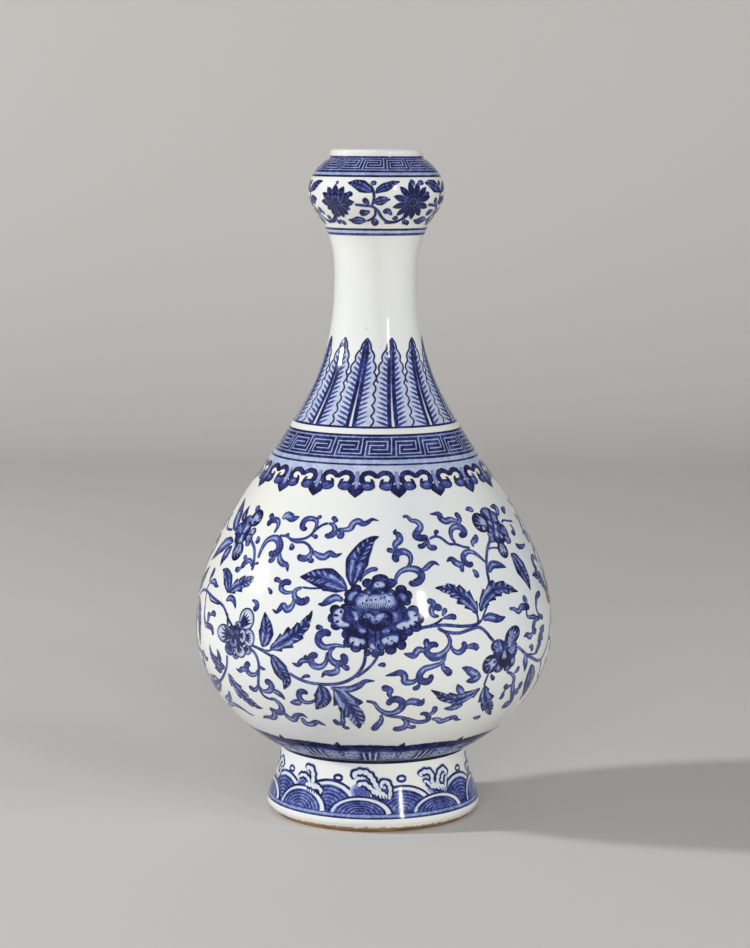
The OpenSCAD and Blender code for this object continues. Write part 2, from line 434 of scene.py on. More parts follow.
# %% Sheets of strokes
class Sheet:
    """Strokes that become one piece: arrays of turn, run, lift and ink, and the quads between them."""

    def __init__(self, name):
        self.name = name
        self.parts = []
        self.count = 0

    def add_grid(self, turn, run, ink, lift):
        """A grid of points (rows along, columns across) with quads between neighbours."""
        lift = np.broadcast_to(lift, turn.shape)
        values = np.stack([turn.ravel(), run.ravel(), lift.ravel(), ink.ravel()], 1)
        self.parts.append((values, grid_quads(*turn.shape, self.count)))
        self.count += turn.size

    def joined(self):
        """All points and all quads so far."""
        return [np.vstack(part) for part in zip(*self.parts)]

    def copied(self, turns):
        """The same strokes again at each of the given turns, in one go."""
        values, quads = self.joined()
        turns = np.asarray(turns, float)
        many = np.repeat(values[None], len(turns), 0)
        many[..., 0] += turns[:, None]
        quads = quads[None] + (np.arange(len(turns)) * len(values))[:, None, None]
        self.parts = [(many.reshape(-1, 4), quads.reshape(-1, 4))]
        self.count = len(values) * len(turns)
        return self

    def add_sheet(self, other):
        """Takes over the strokes of another sheet."""
        for values, quads in other.parts:
            self.parts.append((values, quads + self.count))
        self.count += other.count

    def add_round(self, unit, count):
        """Takes over the strokes of a unit, count times round the vase."""
        self.add_sheet(unit.copied(np.arange(count) * 360 / count))

    def piece(self, material=PAINTED_GLAZE):
        """The mesh: every point put on the glaze, with the glaze's own normal so that gloss runs across it."""
        values, quads = self.joined()
        points, normals = on_glaze(values[:, 0], values[:, 1], values[:, 2])
        a, b, c, d = (points[quads[:, k]] for k in range(4))
        facing = (np.cross(c - a, d - b) * normals[quads[:, 0]]).sum(1)
        quads = np.where(facing[:, None] < 0, quads[:, ::-1], quads)
        piece = new_piece(self.name, points, quads, material)
        ink = piece.data.attributes.new("ink", "FLOAT", "POINT")
        ink.data.foreach_set("value", values[:, 3].astype(np.float32))
        piece.data.normals_split_custom_set_from_vertices(normals.tolist())
        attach(piece, "root")
        print(self.name, 2 * len(quads), "triangles")


# %% Rings and brush strokes
LIFT_WASH, LIFT_FILL, LIFT_STROKE, LIFT_DETAIL = 0.04, 0.06, 0.09, 0.12
LIFT_BLEED, BLED_INK = 0.025, np.array([0.02, 0.36, 0.36, 0.02])
ACROSS = np.array([-1, -0.86, -0.6, -0.25, 0.25, 0.6, 0.86, 1])
RING_STEPS, RING_ROW = 240, 0.7
BRUSH_STEP, THINNEST, BLUNT, NO_END, TOOTH_DEPTH = 0.45, 0.02, 0.0025, 1e3, 0.42


def rounded_path(points, spacing):
    """Catmull-Rom curve through control points (turn, run, half width), cut into steps of about spacing mm."""
    points = np.asarray(points, float)
    ends = np.vstack([2 * points[0] - points[1], points, 2 * points[-1] - points[-2]])
    t = np.linspace(0, 1, 12, endpoint=False)[None, :, None]
    p0, p1, p2, p3 = ends[:-3, None], ends[1:-2, None], ends[2:-1, None], ends[3:, None]
    curve = 0.5 * (2 * p1 + (p2 - p0) * t + (2 * p0 - 5 * p1 + 4 * p2 - p3) * t**2
                   + (3 * p1 - p0 - 3 * p2 + p3) * t**3)
    curve = np.vstack([curve.reshape(-1, 3), points[-1:]])
    return even_steps(curve, spacing)


def even_steps(curve, spacing):
    """A polyline (turn, run, half width) cut into even steps, and each step's distance from the start in mm."""
    wide = np.radians(np.diff(curve[:, 0])) * radius_at((curve[1:, 1] + curve[:-1, 1]) / 2)
    far = np.append(0, np.cumsum(np.hypot(wide, np.diff(curve[:, 1]))))
    steps = max(4, int(far[-1] / spacing))
    at = np.linspace(0, far[-1], steps + 1)
    return np.stack([np.interp(at, far, curve[:, k]) for k in range(3)], 1), at


def ahead_of(path):
    """Unit direction in mm (round, along) at each point of a path, and how many mm one degree is there."""
    scale = degree_at(path[:, 1])
    ahead = np.gradient(np.stack([path[:, 0] * scale.mean(), path[:, 1]], 1), axis=0)
    return ahead / (np.hypot(*ahead.T)[:, None] + TINY), scale


def stroke(sheet, points, core=0.58, edge=0.85, rim=0.4, lift=LIFT_STROKE, teeth=0, straight=False,
           spacing=BRUSH_STEP, round_start=True, round_end=True, heap=0.0, bleed=0.0):
    """A brush stroke. Across it v runs from -1 to 1; a point lies half width times v to the side of the path.
    Ink runs from core to edge within rim mm of the border and gathers by heap towards the end. Ends are rounded
    like a half circle, and teeth cut the border into that many saw points. Under the stroke a wider, pale one
    reaches bleed mm beyond the border, where the colour runs out into the glaze."""
    path, at = even_steps(np.asarray(points, float), spacing) if straight else rounded_path(points, spacing)
    turn, run, half = path.T
    half = np.maximum(half, THINNEST)
    ahead, scale = ahead_of(path)

    def lay(off, ink, lift):
        """A grid whose points lie off mm to the side of the path."""
        turns = turn[:, None] - ahead[:, 1:] * off / scale[:, None]
        sheet.add_grid(turns, run[:, None] + ahead[:, :1] * off, ink, lift)

    left = at if round_start else np.full_like(at, NO_END)
    right = at[-1] - at if round_end else np.full_like(at, NO_END)
    cap = np.clip(np.minimum(left, right) / half, 0, 1)
    wide = half * np.sqrt(np.clip(1 - (1 - cap) ** 2, BLUNT, 1))
    v = ACROSS[None]
    saw = 1.0
    if teeth:
        share = (at / at[-1])[:, None]
        phase = share * teeth + np.where(v > 0, 0.5, 0.0)
        saw = 1 - TOOTH_DEPTH * (1 - phase % 1) * np.sin(np.pi * np.clip(share, 0.02, 0.98)) ** 0.3
    inside = np.minimum((1 - np.abs(v)) * wide[:, None], np.minimum(left, right)[:, None])
    ink = core + (edge - core) * np.clip(1 - inside / rim, 0, 1) + heap * (at[:, None] / at[-1]) ** 2
    lay(v * wide[:, None] * saw, ink, lift)
    if bleed:
        off = np.array([-1, -1, 1, 1]) * wide[:, None] + np.array([-1, 0, 0, 1]) * bleed
        lay(off, np.broadcast_to(BLED_INK, off.shape), LIFT_BLEED)


def ring(sheet, low, high, ink, lift=LIFT_WASH):
    """A band all round the vase between two runs, in rows close enough to follow its curve."""
    rows = int((high - low) / RING_ROW) + 2
    turn, run = np.meshgrid(np.linspace(-180, 180, RING_STEPS + 1), np.linspace(low, high, rows))
    sheet.add_grid(turn, run, np.full(run.shape, ink), lift)


# %% [markdown]
# ### Kinds of stroke
# Four ways of pressing the brush make nearly all of the scrolls: a stem keeps its width, a curl swells towards a
# round head, a flame swells and ends in a point, and a leaf is widest in its middle. Each is the stroke above with
# its own widths along the way. A petal is different: it is an ellipse, filled from its middle out and darker along
# its border, with streaks that spread from the flower's heart.

# %% Stems, curls, flames, leaves and petals
WIDTHS = {
    "stem": ([0, 1], [1, 1]),
    "curl": ([0, 0.2, 0.55, 0.85, 1], [0.36, 0.6, 1.1, 1.15, 0.8]),
    "flame": ([0, 0.3, 0.6, 0.85, 1], [0.5, 1.2, 1.15, 0.6, 0.1]),
    "leaf": ([0, 0.16, 0.42, 0.72, 1], [0.16, 0.82, 1.25, 0.8, 0.04]),
}


def brushed(kind, half, spots):
    """Path through spots (turn, run, turn, run ...) with the widths of its kind, half mm at the widest."""
    points = np.reshape(spots, (-1, 2))
    path, at = rounded_path(np.column_stack([points, np.ones(len(points))]), BRUSH_STEP)
    path[:, 2] = half * np.interp(at / at[-1], *WIDTHS[kind])
    return path


def paint(sheet, kind, half, spots, core=0.45, edge=0.97, rim=0.5, lift=LIFT_STROKE):
    """One stem, curl, flame or leaf. The wider ones have a pale streak where the brush ran drier."""
    path = brushed(kind, half, spots)
    stroke(sheet, path, core, edge, rim, lift, straight=True, heap=0.3, bleed=0.3)
    if kind != "stem" and half > 0.85:
        streak = path[len(path) // 8:int(len(path) * 0.6)] * [1, 1, 0.26]
        stroke(sheet, streak, 0.24, 0.42, 0.3, lift + 0.03, straight=True, spacing=0.7)


def paint_all(sheet, kind, rows, **how):
    """A list of strokes, each row its half width and its spots."""
    for half, *spots in rows:
        paint(sheet, kind, half, spots, **how)


def leaf(sheet, half, spots, teeth=0, core=0.62, edge=1.08, veins=5):
    """A leaf: dark border and tip, a dark midrib between pale streaks, and pale veins that slant to the tip."""
    path = brushed("leaf", half, spots)
    stroke(sheet, path, core, edge, 1.1, LIFT_STROKE, teeth, straight=True, heap=0.3, bleed=0 if teeth else 0.3)
    ahead, scale = ahead_of(path)
    count = len(path)
    for side in (-0.4, 0.4):
        aside = side * path[:, 2:] * np.stack([-ahead[:, 1] / scale, ahead[:, 0]], 1)
        streak = np.column_stack([path[:, :2] + aside, path[:, 2] * 0.16])[count // 16:int(count * 0.45)]
        stroke(sheet, streak, 0.32, 0.52, 0.35, LIFT_DETAIL, straight=True)
    for place in np.linspace(0.3, 0.78, veins):
        k = int(place * (count - 1))
        for side in (-0.66, 0.66):
            reach = (ahead[k] * 0.85 + ahead[k][::-1] * [-side, side]) * path[k, 2]
            root, tip = path[k, :2] + 0.2 * reach / [scale[k], 1], path[k, :2] + reach / [scale[k], 1]
            middle = (*(0.5 * (root + tip)), 0.08 * half + 0.12)
            stroke(sheet, [(*root, 0.1), middle, (*tip, 0.08)], 0.3, 0.5, 0.3, LIFT_DETAIL + 0.005)
    rib = path[2:int(count * 0.9)] * [1, 1, 0] + [0, 0, 0.16]
    stroke(sheet, rib, 0.95, 0.95, 0.2, LIFT_DETAIL + 0.01, straight=True)


# First touches this large, in mm, are the ground under a whole flower and get no streaks.
WHOLE_FLOWER, STREAK_STEP = 5, 0.008
STREAKS = np.array([-33, -11, 11, 33])


def touch(sheet, lift, turn, run, wide, tall, lean=0, inner=0.66, rim=1.08):
    """A loaded touch of the brush on a polar grid: an ellipse of half sizes wide and tall mm that leans by lean
    degrees. Ink is inner over the middle and turns to rim near the edge."""
    angle = np.linspace(0, 2 * math.pi, int(np.clip(16 + 5 * max(wide, tall), 18, 49)))[:, None]
    share = np.array([0, 0.35, 0.55, 0.7, 0.82, 0.92, 1])[None]
    x, y, a = wide * share * np.cos(angle), tall * share * np.sin(angle), math.radians(lean)
    x, y = x * math.cos(a) - y * math.sin(a), x * math.sin(a) + y * math.cos(a)
    ink = np.broadcast_to(inner + (rim - inner) * share**4, x.shape)
    sheet.add_grid(turn + np.degrees(x / radius_at(run + y)), run + y, ink, lift)


def fan(sheet, lift, root, way, bends, half, ink):
    """Streaks that spread from a root: each goes way (turn, run) turned by a bend in degrees, and thins out."""
    scale = degree_at(root[1])
    x, y = way[0] * scale, way[1]
    for bend in np.radians(bends):
        cos, sin = math.cos(bend), math.sin(bend)
        tip = (root[0] + (x * cos - y * sin) / scale, root[1] + x * sin + y * cos)
        middle = (0.5 * (root[0] + tip[0]), 0.5 * (root[1] + tip[1]), 0.7 * half)
        stroke(sheet, [(*root, half), middle, (*tip, 0.06)], ink, ink * 0.85, 0.3, lift)


def touches(sheet, layers, low=0.05, step=0.013, heart=None):
    """Touches laid over each other, layer by layer. A row of five values is a light: not a touch, but pale streaks of
    that ink, which come from the side of the flower's heart. The petals of the first layer get fainter ones."""
    for k, layer in enumerate(layers):
        for values in layer:
            turn, run, wide, tall, *more = values
            small, large = sorted((wide, tall))
            light = len(more) == 1
            if not light:
                touch(sheet, low + step * k, *values)
            if heart and small < WHOLE_FLOWER and (light or k == 0):
                scale = degree_at(run)
                out = np.array([(turn - heart[0]) * scale, run - heart[1]])
                out *= large / (np.hypot(*out) * np.array([scale, 1]))
                half, ink = (0.34 * small, more[0]) if light else (0.2 * small, 0.4)
                fan(sheet, low + step * k + STREAK_STEP, (turn, run) - 0.8 * out, 1.52 * out,
                    STREAKS * small / large, half, ink)


def pale_petal(sheet, lift, turn, run, wide, tall, pale, base):
    """A petal outlined in blue and pale inside, with dark streaks from the flower's heart, which lies at the angle
    base in degrees."""
    touch(sheet, lift, turn, run, wide, tall, 0, 0.98, 0.98)
    size = min(wide, tall)
    line = 0.3 + 0.08 * size
    touch(sheet, lift + 0.006, turn, run, wide - line, tall - line, 0, pale, pale + 0.22)
    inward = math.radians(base)
    way = np.array([np.degrees(wide * math.cos(inward) / radius_at(run)), tall * math.sin(inward)])
    fan(sheet, lift + 0.011, (turn, run) + 0.9 * way, -1.4 * way, (-30, -15, 0, 15, 30), 0.24 * size, 0.92)


def dot(sheet, turn, run, size, lift):
    """A touch of the brush's tip."""
    spots = [(turn - 0.01, run - size, size), (turn, run + size, size)]
    stroke(sheet, spots, 0.95, 0.95, lift=lift, spacing=size / 3)


print("Kinds of stroke:", ", ".join(WIDTHS))

# %% [markdown]
# ## Bands
# The vase is divided by rings. Between them lie repeating borders: key frets under the lip and on the shoulder,
# plantain leaves up the neck, cloud heads above the belly, lappets under it and waves round the foot. A border's
# unit is drawn once and copied round, so its turn at the front is what sets the whole band. The lappets lie where
# the belly looks down, and the photograph shows them darker, so their glaze is given less gloss.

# %% Rings and washes
rings = Sheet("ring_lines")
washes = Sheet("band_washes")
FOOT_LINES, LAPPET_LINE = (5.1, 6.9), 28.7
SHOULDER_LINES = (175.6, 178.3, 188.8, 192.4)
HEAD_LOW_LINES, HEAD_HIGH_LINES, LIP_LINE = (274.2, 276.4), (300.3, 302.5), 311.2
for run, half, ink in [
    (FOOT_LINES[0], 0.4, 0.72), (FOOT_LINES[1], 0.35, 0.68),
    (SHOULDER_LINES[0], 0.42, 0.84), (SHOULDER_LINES[1], 0.5, 0.85), (SHOULDER_LINES[2], 0.5, 0.9),
    (SHOULDER_LINES[3], 0.5, 0.84), (HEAD_LOW_LINES[0], 0.55, 0.66), (HEAD_LOW_LINES[1], 0.5, 0.84),
    (HEAD_HIGH_LINES[0], 0.48, 0.88), (HEAD_HIGH_LINES[1], 0.48, 0.88), (LIP_LINE, 0.35, 0.7),
]:
    ring(rings, run - half, run + half, ink, lift=LIFT_DETAIL)
for low, high, ink in [
    (*FOOT_LINES, 0.32), (*HEAD_LOW_LINES, 0.16), (*HEAD_HIGH_LINES, 0.24),
    (SHOULDER_LINES[0] - 4.0, SHOULDER_LINES[0], 0.17), (*SHOULDER_LINES[:2], 0.2),
]:
    ring(washes, low, high, ink)

# %% Key frets
FRET_HOOKS = [
    [(0.005, -0.04), (0.05, 0.84), (0.772, 0.84), (0.733, 0.34), (0.278, 0.34)],
    [(0.622, 0.6), (0.167, 0.6), (0.133, 0.1), (0.861, 0.1), (0.911, 1.04)],
]


def key_fret(sheet, low, high, units, first_turn, half, ground, pale):
    """A band of squared hooks that grip each other in pairs: pale lines on a blue ground, between two pale rings.
    Each straight of a hook is its own stroke, drawn out by half a width at both ends."""
    ring(sheet, low, high, ground, lift=LIFT_FILL)
    gap = 0.1 * (high - low)
    for run in (low + 0.5 * gap, high - 0.5 * gap):
        ring(sheet, run - half, run + half, pale + 0.1, lift=LIFT_STROKE)
    low, high = low + 1.2 * gap, high - 1.2 * gap
    step = 360 / units
    unit = Sheet("unit")
    for line in FRET_HOOKS:
        spots = np.array([(first_turn + x * step, low + y * (high - low)) for x, y in line])
        scale = degree_at(spots[:, 1]).mean()
        for start, end in zip(spots[:-1], spots[1:]):
            way = (end - start) * [scale, 1]
            way *= half / np.hypot(*way) / [scale, 1]
            stroke(unit, [(*(start - way), half), (*(end + way), half)], core=pale, edge=pale * 0.75 + 0.25 * ground,
                   rim=half * 0.8, lift=LIFT_DETAIL, straight=True, spacing=1.5, round_start=False, round_end=False)
    sheet.add_round(unit, units)


frets = Sheet("key_frets")
key_fret(frets, SHOULDER_LINES[1] + 0.4, SHOULDER_LINES[2] - 0.3, 20, -5.9, 0.27, 0.82, 0.2)
key_fret(frets, HEAD_HIGH_LINES[1] + 0.4, LIP_LINE - 0.3, 15, -13.8, 0.25, 0.82, 0.24)
frets.piece()

# %% Plantain leaves
LEAVES, LEAF_TURN, LEAF_LOW, LEAF_HIGH = 12, -17.2, SHOULDER_LINES[3] + 0.3, 231.2
LEAF_SIDE = [0, 0.35, 0.6, 0.7, 0.8, 0.86, 0.91, 0.95, 1], [15.2, 15, 14, 12.7, 10.2, 8, 5.4, 3.6, 0]
RIB = (0.0, 0.65), (0.2, 0.42), (0.42, 0.16), (0.6, 0.04)
FLANK = (0.0, 1.15), (0.3, 1.0), (0.6, 0.85), (0.85, 0.7), (0.97, 0.3)
TIP = (0.84, 1.2), (0.9, 1.2), (0.95, 0.8), (1.0, 0.05)
CHEVRONS, SCALLOPS, EDGE_STEPS = 16, 8, 120


def leaf_side(share):
    """Half width of a plantain leaf in degrees: even below, closing to a point above."""
    return np.interp(share, *LEAF_SIDE)


def leaf_spot(share, v):
    """Turn and run on a plantain leaf: share up from its base, v across from -1 to 1. The tip leans right."""
    return LEAF_TURN + 7.4 * share**1.5 + v * leaf_side(share), LEAF_LOW + share * (LEAF_HIGH - LEAF_LOW)


def rib_turn(share):
    """Turn of the midrib, which starts left of the middle and ends at the tip."""
    return LEAF_TURN - 0.2 + 7.6 * share**1.6


def plantain_unit():
    """One leaf: pale ground, chevron strokes rising outwards, dark flanks, a white midrib and a scalloped edge."""
    unit = Sheet("unit")
    share, v = np.meshgrid(np.linspace(0, 0.99, 40), np.linspace(-1, 1, 9), indexing="ij")
    turn, run = leaf_spot(share, v)
    unit.add_grid(turn, run, np.full(turn.shape, 0.14), LIFT_WASH)
    for k in range(CHEVRONS):
        low = 0.005 + 0.056 * k
        for side, reach in ((-1, 0.84), (1, 0.72)):
            inner = rib_turn(low) + side * (2.6 - 1.4 * low)
            outer_turn, outer_run = leaf_spot(low + 0.065, side * reach)
            middle = (inner + outer_turn) / 2
            low_run = leaf_spot(low, 0)[1]
            stroke(unit, [(inner, low_run, 0.5), (middle, low_run * 0.45 + outer_run * 0.55, 0.6),
                          (outer_turn, outer_run, 0.14)], core=0.62, edge=0.42, rim=0.5, lift=LIFT_FILL)
    for side in (-1, 1):
        flank = []
        for share, wide in FLANK:
            run = leaf_spot(share, 0)[1]
            flank.append((rib_turn(share) + side * wide * 1.05 / degree_at(run), run, wide))
        stroke(unit, flank, core=0.95, edge=0.66, rim=0.9, lift=LIFT_STROKE, round_start=False)
        sides = np.linspace(0.5 if side < 0 else 0, 1, EDGE_STEPS)
        scallop = 2.5 * (np.abs(np.sin(np.pi * SCALLOPS * sides)) - 0.7) * (1 - sides**10)
        turn, run = leaf_spot(sides, 0)
        edge = np.stack([turn + side * (leaf_side(sides) + scallop), run, np.full(EDGE_STEPS, 0.38)], 1)
        stroke(unit, edge, core=0.88, edge=0.75, straight=True)
    stroke(unit, [(*leaf_spot(share, 0), wide) for share, wide in TIP], core=0.72, edge=0.6, rim=0.9)
    stroke(unit, [(rib_turn(share), leaf_spot(share, 0)[1], wide) for share, wide in RIB],
           core=0.05, edge=0.25, lift=LIFT_DETAIL, round_start=False)
    return unit


plantain = Sheet("plantain_leaves")
plantain.add_round(plantain_unit(), LEAVES)
plantain.piece()

# %% Cloud heads above the belly
CLOUDS, CLOUD_TURN = 18, -8.9
CLOUD_ARCH = [(10.1, 169.3, 0.9), (8.7, 170.9, 1.1), (6.2, 171.8, 1.15), (3.7, 171.4, 1.15), (2.5, 169.9, 1.1),
              (2.6, 168.2, 1.25), (3.9, 166.9, 1.3)]
CLOUD_HOOK = [(7.5, 166.2, 1.1), (7.9, 167.4, 0.75), (7.3, 168.6, 0.55), (6.5, 168.9, 0.3)]
CLOUD_TONGUE = [(0, 167.0, 1.6), (0, 165.4, 2.8), (0, 163.6, 3.3), (0, 162.2, 2.2), (0, 160.4, 0.1)]
CLOUD_LIGHT = [(0, 172.6, 0.6), (0, 169.6, 1.0), (0, 166.4, 0.9), (0, 164.2, 0.3)]
COMB_STEPS = 30


def cloud_unit():
    """One cloud head: two arches that come down into round wings, whose ends hook up again round a white eye, over a
    pointed tongue with a pale middle."""
    unit = Sheet("unit")

    def part(spots, side, **how):
        """A stroke of the unit, mirrored where side is -1."""
        stroke(unit, [(CLOUD_TURN + side * turn, run, half) for turn, run, half in spots], **how)

    for side in (-1, 1):
        part(CLOUD_ARCH, side, core=0.82, edge=1.0, rim=0.8)
        touch(unit, LIFT_STROKE + 0.01, CLOUD_TURN + side * 5.5, 165.8, 3.1, 2.15, 0, 0.55, 1.02)
        part(CLOUD_HOOK, side, core=0.9, edge=1.0, lift=LIFT_STROKE + 0.02)
        turns = np.linspace(3, 10, COMB_STEPS)
        comb = 172.5 - 0.14 * (turns - 6.2) ** 2 + 0.3 * np.abs(np.sin(turns * 1.7))
        part(np.stack([turns, comb, np.full(COMB_STEPS, 0.34)], 1), side, core=0.95, edge=0.8, straight=True)
        touch(unit, LIFT_DETAIL, CLOUD_TURN + side * 5.4, 166.2, 1.0, 0.5, 0, 0.38, 0.6)
    part(CLOUD_TONGUE, 1, core=0.72, edge=1.02, rim=1.3, lift=LIFT_STROKE + 0.015, heap=0.25)
    part(CLOUD_LIGHT, 1, core=0.3, edge=0.5, lift=LIFT_DETAIL)
    return unit


clouds = Sheet("cloud_heads")
clouds.add_round(cloud_unit(), CLOUDS)
clouds.piece()

# %% Lappets under the belly
LAPPETS, LAPPET_TURN, LAPPET_TOP = 13, -15.5, 47.2
STRIPES, HEAD_STEPS = 7, 40
LAPPET_CURLS = [
    (0.95, 0.36, 40.6, 0.5, 38.8, 0.68, 40.2, 0.84, 38.2), (0.04, 0.36, 38.8, 0.5, 37, 0.68, 38.6, 0.88, 36.4),
    (0.95, 0.34, 37, 0.48, 35, 0.66, 36.8, 0.86, 34.6), (0.04, 0.36, 34.8, 0.52, 33.4, 0.7, 35, 0.86, 33),
    (0.95, 0.98, 41.6, 0.9, 39.4, 0.97, 37, 0.9, 34.4),
]


def lappet_unit():
    """One lappet: a dark foot and a dark scalloped head, upright stripes in the middle, a pale field of curls on
    either side, and small points over its middle and between neighbours."""
    unit = Sheet("unit")
    half = 180 / LAPPETS
    middle = LAPPET_TURN + half
    share, v = np.meshgrid(np.linspace(0, 1, 21), np.linspace(-1, 1, 33), indexing="ij")
    run = LAPPET_LINE + share * (LAPPET_TOP - 1.6 * np.abs(v) ** 3 - LAPPET_LINE)
    field = np.exp(-(((np.abs(v) - 0.68) / 0.36) ** 4) - ((share - 0.48) / 0.25) ** 4)
    ink = np.interp(share, [0, 0.24, 0.4, 0.7, 0.8, 1], [1.1, 1.05, 0.62, 0.55, 0.9, 1.05])
    unit.add_grid(middle + v * half, run, ink * (1 - field) + 0.12 * field, LIFT_WASH)
    for k, v in enumerate(np.linspace(-0.27, 0.27, STRIPES)):
        core, edge = (0.05, 0.25) if k % 2 else (1.0, 0.85)
        stroke(unit, [(middle + half * v, 31, 0.36), (middle + half * v * 1.25, 42.6 - 20 * v * v, 0.4)], core, edge,
               straight=True, spacing=2)
    for side in (-1, 1):
        for ink, *spots in LAPPET_CURLS:
            curl = [(middle + side * half * v, run, 0.36) for v, run in np.reshape(spots, (-1, 2))]
            stroke(unit, curl, ink, 0.5, spacing=1)
    v = np.linspace(-1, 1, HEAD_STEPS)
    top = LAPPET_TOP - 1.6 * np.abs(v) ** 3 + 0.35 * np.abs(np.sin(v * 6.3))
    stroke(unit, np.stack([middle + half * v, top, np.full(HEAD_STEPS, 0.6)], 1), core=0.9, edge=0.8, straight=True)
    for turn, tall, wide in ((LAPPET_TURN, 2.8, 1.7), (middle, 1.4, 1.6)):
        point = [(turn, LAPPET_TOP - 3, wide), (turn, LAPPET_TOP - 0.6, wide), (turn + 0.6, LAPPET_TOP + tall, 0.05)]
        stroke(unit, point, core=0.85, edge=0.92)
    return unit


lappets = Sheet("lappet_band")
lappets.add_round(lappet_unit(), LAPPETS)
ring(lappets, LAPPET_LINE - 1.1, LAPPET_LINE + 0.8, 0.95, lift=LIFT_DETAIL)
lappets.piece(DULL_GLAZE)

# %% Waves round the foot
WAVE_BASE = FOOT_LINES[1]
FRONT_HILLS = [-44, -7, 39, 80, 120, 160, 200, 240, 279]
BACK_HILLS = [-62, -26, 17, 59.5, 100, 140, 180, 220, 259.5]
BACK_TOPS, FRONT_TALL, DROPS = (19.6, 20.0, 18.2), (9.4, 7.4, 7.0), (22.8, 24, 23)
LIFT_FOAM_WASH, LIFT_FOAM_EDGE, LIFT_FOAM, LIFT_FOAM_LINES = 0.1, 0.14, 0.18, 0.215
HILL_STEPS, DROP_STEPS, FOAM_LINES = 41, 25, 7
HILL_RINGS = [
    (1.0, 0.5, 0.86, 0.7), (0.89, 0.75, 0.06, 0.2), (0.77, 0.5, 0.82, 0.66), (0.63, 0.36, 0.78, 0.6),
    (0.5, 0.36, 0.8, 0.62), (0.37, 0.34, 0.78, 0.6), (0.24, 0.32, 0.8, 0.62), (0.11, 0.3, 0.8, 0.62),
]


def wave_hill(unit, turn, base, wide, tall, lift):
    """A hill of water: half rings, from a white crest band inwards to close blue lines, cut off at the base line."""
    bend = np.radians(np.linspace(0, 180, HILL_STEPS))
    share, angle = np.meshgrid(np.linspace(0.02, 1, 8), bend, indexing="ij")
    run = np.maximum(base + tall * share * np.sin(angle), WAVE_BASE)
    unit.add_grid(turn - wide * share * np.cos(angle), run, np.full(run.shape, 0.42), lift)
    for size, half, core, edge in HILL_RINGS:
        run = np.maximum(base + tall * size * np.sin(bend), WAVE_BASE)
        crest = core < 0.5
        swell = half * (0.6 + 0.9 * np.linspace(0, 1, HILL_STEPS) ** 2 if crest else np.ones(HILL_STEPS))
        path = np.stack([turn - wide * size * np.cos(bend), run, swell], 1)
        stroke(unit, path, core, edge, lift=lift + 0.03, straight=True, round_start=False, round_end=False)


FOAM = {
    "low": [(1.15, 6.5, 16.6, 6, 19.6, 5.2, 22, 3.4, 23.5, 1, 23.4, 0, 22.3),
            (0.85, 4.5, 17.2, 2, 19.2, -1, 20.1, -4, 19.6, -6, 18.4),
            (1.0, 7.5, 17.4, 10.5, 16.2, 12.4, 15.4, 13, 13.6), (1.2, 1, 16.6, 4, 16.8, 7, 16.4, 9.5, 15.6)],
    "high": [(1.15, 12, 15, 9.5, 17.5, 7.5, 20.2, 5.5, 22.4, 3, 23.8, 0, 24.2, -3, 23.8, -4.4, 22.6, -3, 21.7),
             (0.95, 10, 15.4, 7, 16.8, 4.5, 18.2, 2, 19.4, -0.5, 19.2, -2, 18),
             (0.9, 16, 12.8, 16.8, 15.5, 16.6, 18, 15.2, 19.8, 13.2, 20.2, 11.6, 19, 12.4, 17.6),
             (1.6, 6, 16.4, 9, 15.8, 12, 14.8, 15, 13.6)],
    "broad": [(1.05, -2, 16.4, -2, 19, -1.6, 21, -3, 22.6, -6, 23.1, -9, 22.6, -10.2, 21.3),
              (0.75, -3, 16.2, -4.6, 18, -6.4, 19.2, -8, 18.4),
              (1.0, 2, 15.6, 2, 18.4, 3.4, 21, 5.6, 22.6, 8, 22.8, 9.8, 21.4, 9, 20.2),
              (0.75, 7, 14.6, 8, 17, 9.4, 19, 11, 19.6), (1.5, -4, 16.6, -1, 16.8, 3, 16, 7, 14.8)],
}


def foam(unit, kind, turn, drop):
    """A crest of foam on a hill: one white body with hooks in a blue border, over a pale wash, with short lines where
    it runs down the hill, and the drop that leaps off it."""
    touch(unit, LIFT_FOAM_WASH, turn, 16.2, 4.6, 3.6, 0, 0.5, 0.1)
    for k, (half, *spots) in enumerate(FOAM[kind]):
        path = brushed("stem", half, spots) + [turn, 0, 0]
        path[:, 2] *= 1 + 0.2 * np.cos(1.25 * np.arange(len(path)))
        over = 0.005 * k
        stroke(unit, path + [0, 0, 0.72], 1.0, 0.85, 0.6, lift=LIFT_FOAM_EDGE + over, straight=True, bleed=0.6)
        stroke(unit, path * [1, 1, 0.8], 0.08, 0.2, 0.4, lift=LIFT_FOAM + over, straight=True)
    for k in range(FOAM_LINES):
        foot, down = turn + 2.6 + 1.8 * k, 0.25 * k
        stroke(unit, [(foot + 0.8, 14 - down, 0.36), (foot, 16.2 - down, 0.14)], 0.88, 0.7, lift=LIFT_FOAM_LINES)
    circle = np.radians(np.linspace(0, 360, DROP_STEPS))
    bead = np.stack([turn + drop + 2.5 * np.cos(circle), 21.2 + 1.15 * np.sin(circle), np.full(DROP_STEPS, 0.5)], 1)
    stroke(unit, bead, 0.95, 0.5, straight=True, round_start=False, round_end=False, bleed=0.3)


waves = Sheet("foot_waves")
ring(waves, WAVE_BASE, WAVE_BASE + 4.5, 0.66, LIFT_WASH - 0.01)
for k, turn in enumerate(BACK_HILLS):
    wave_hill(waves, turn, WAVE_BASE + 1.5, 18.5, BACK_TOPS[k % 3] - WAVE_BASE - 1.5, LIFT_WASH)
waves.piece()
wave_crests = Sheet("foot_wave_crests")
for k, turn in enumerate(FRONT_HILLS):
    wave_hill(wave_crests, turn, WAVE_BASE - 0.4, 17.5, FRONT_TALL[k % 3], LIFT_DETAIL)
    foam(wave_crests, list(FOAM)[k % 3], turn, DROPS[k % 3])
wave_crests.piece()
rings.piece()
washes.piece()

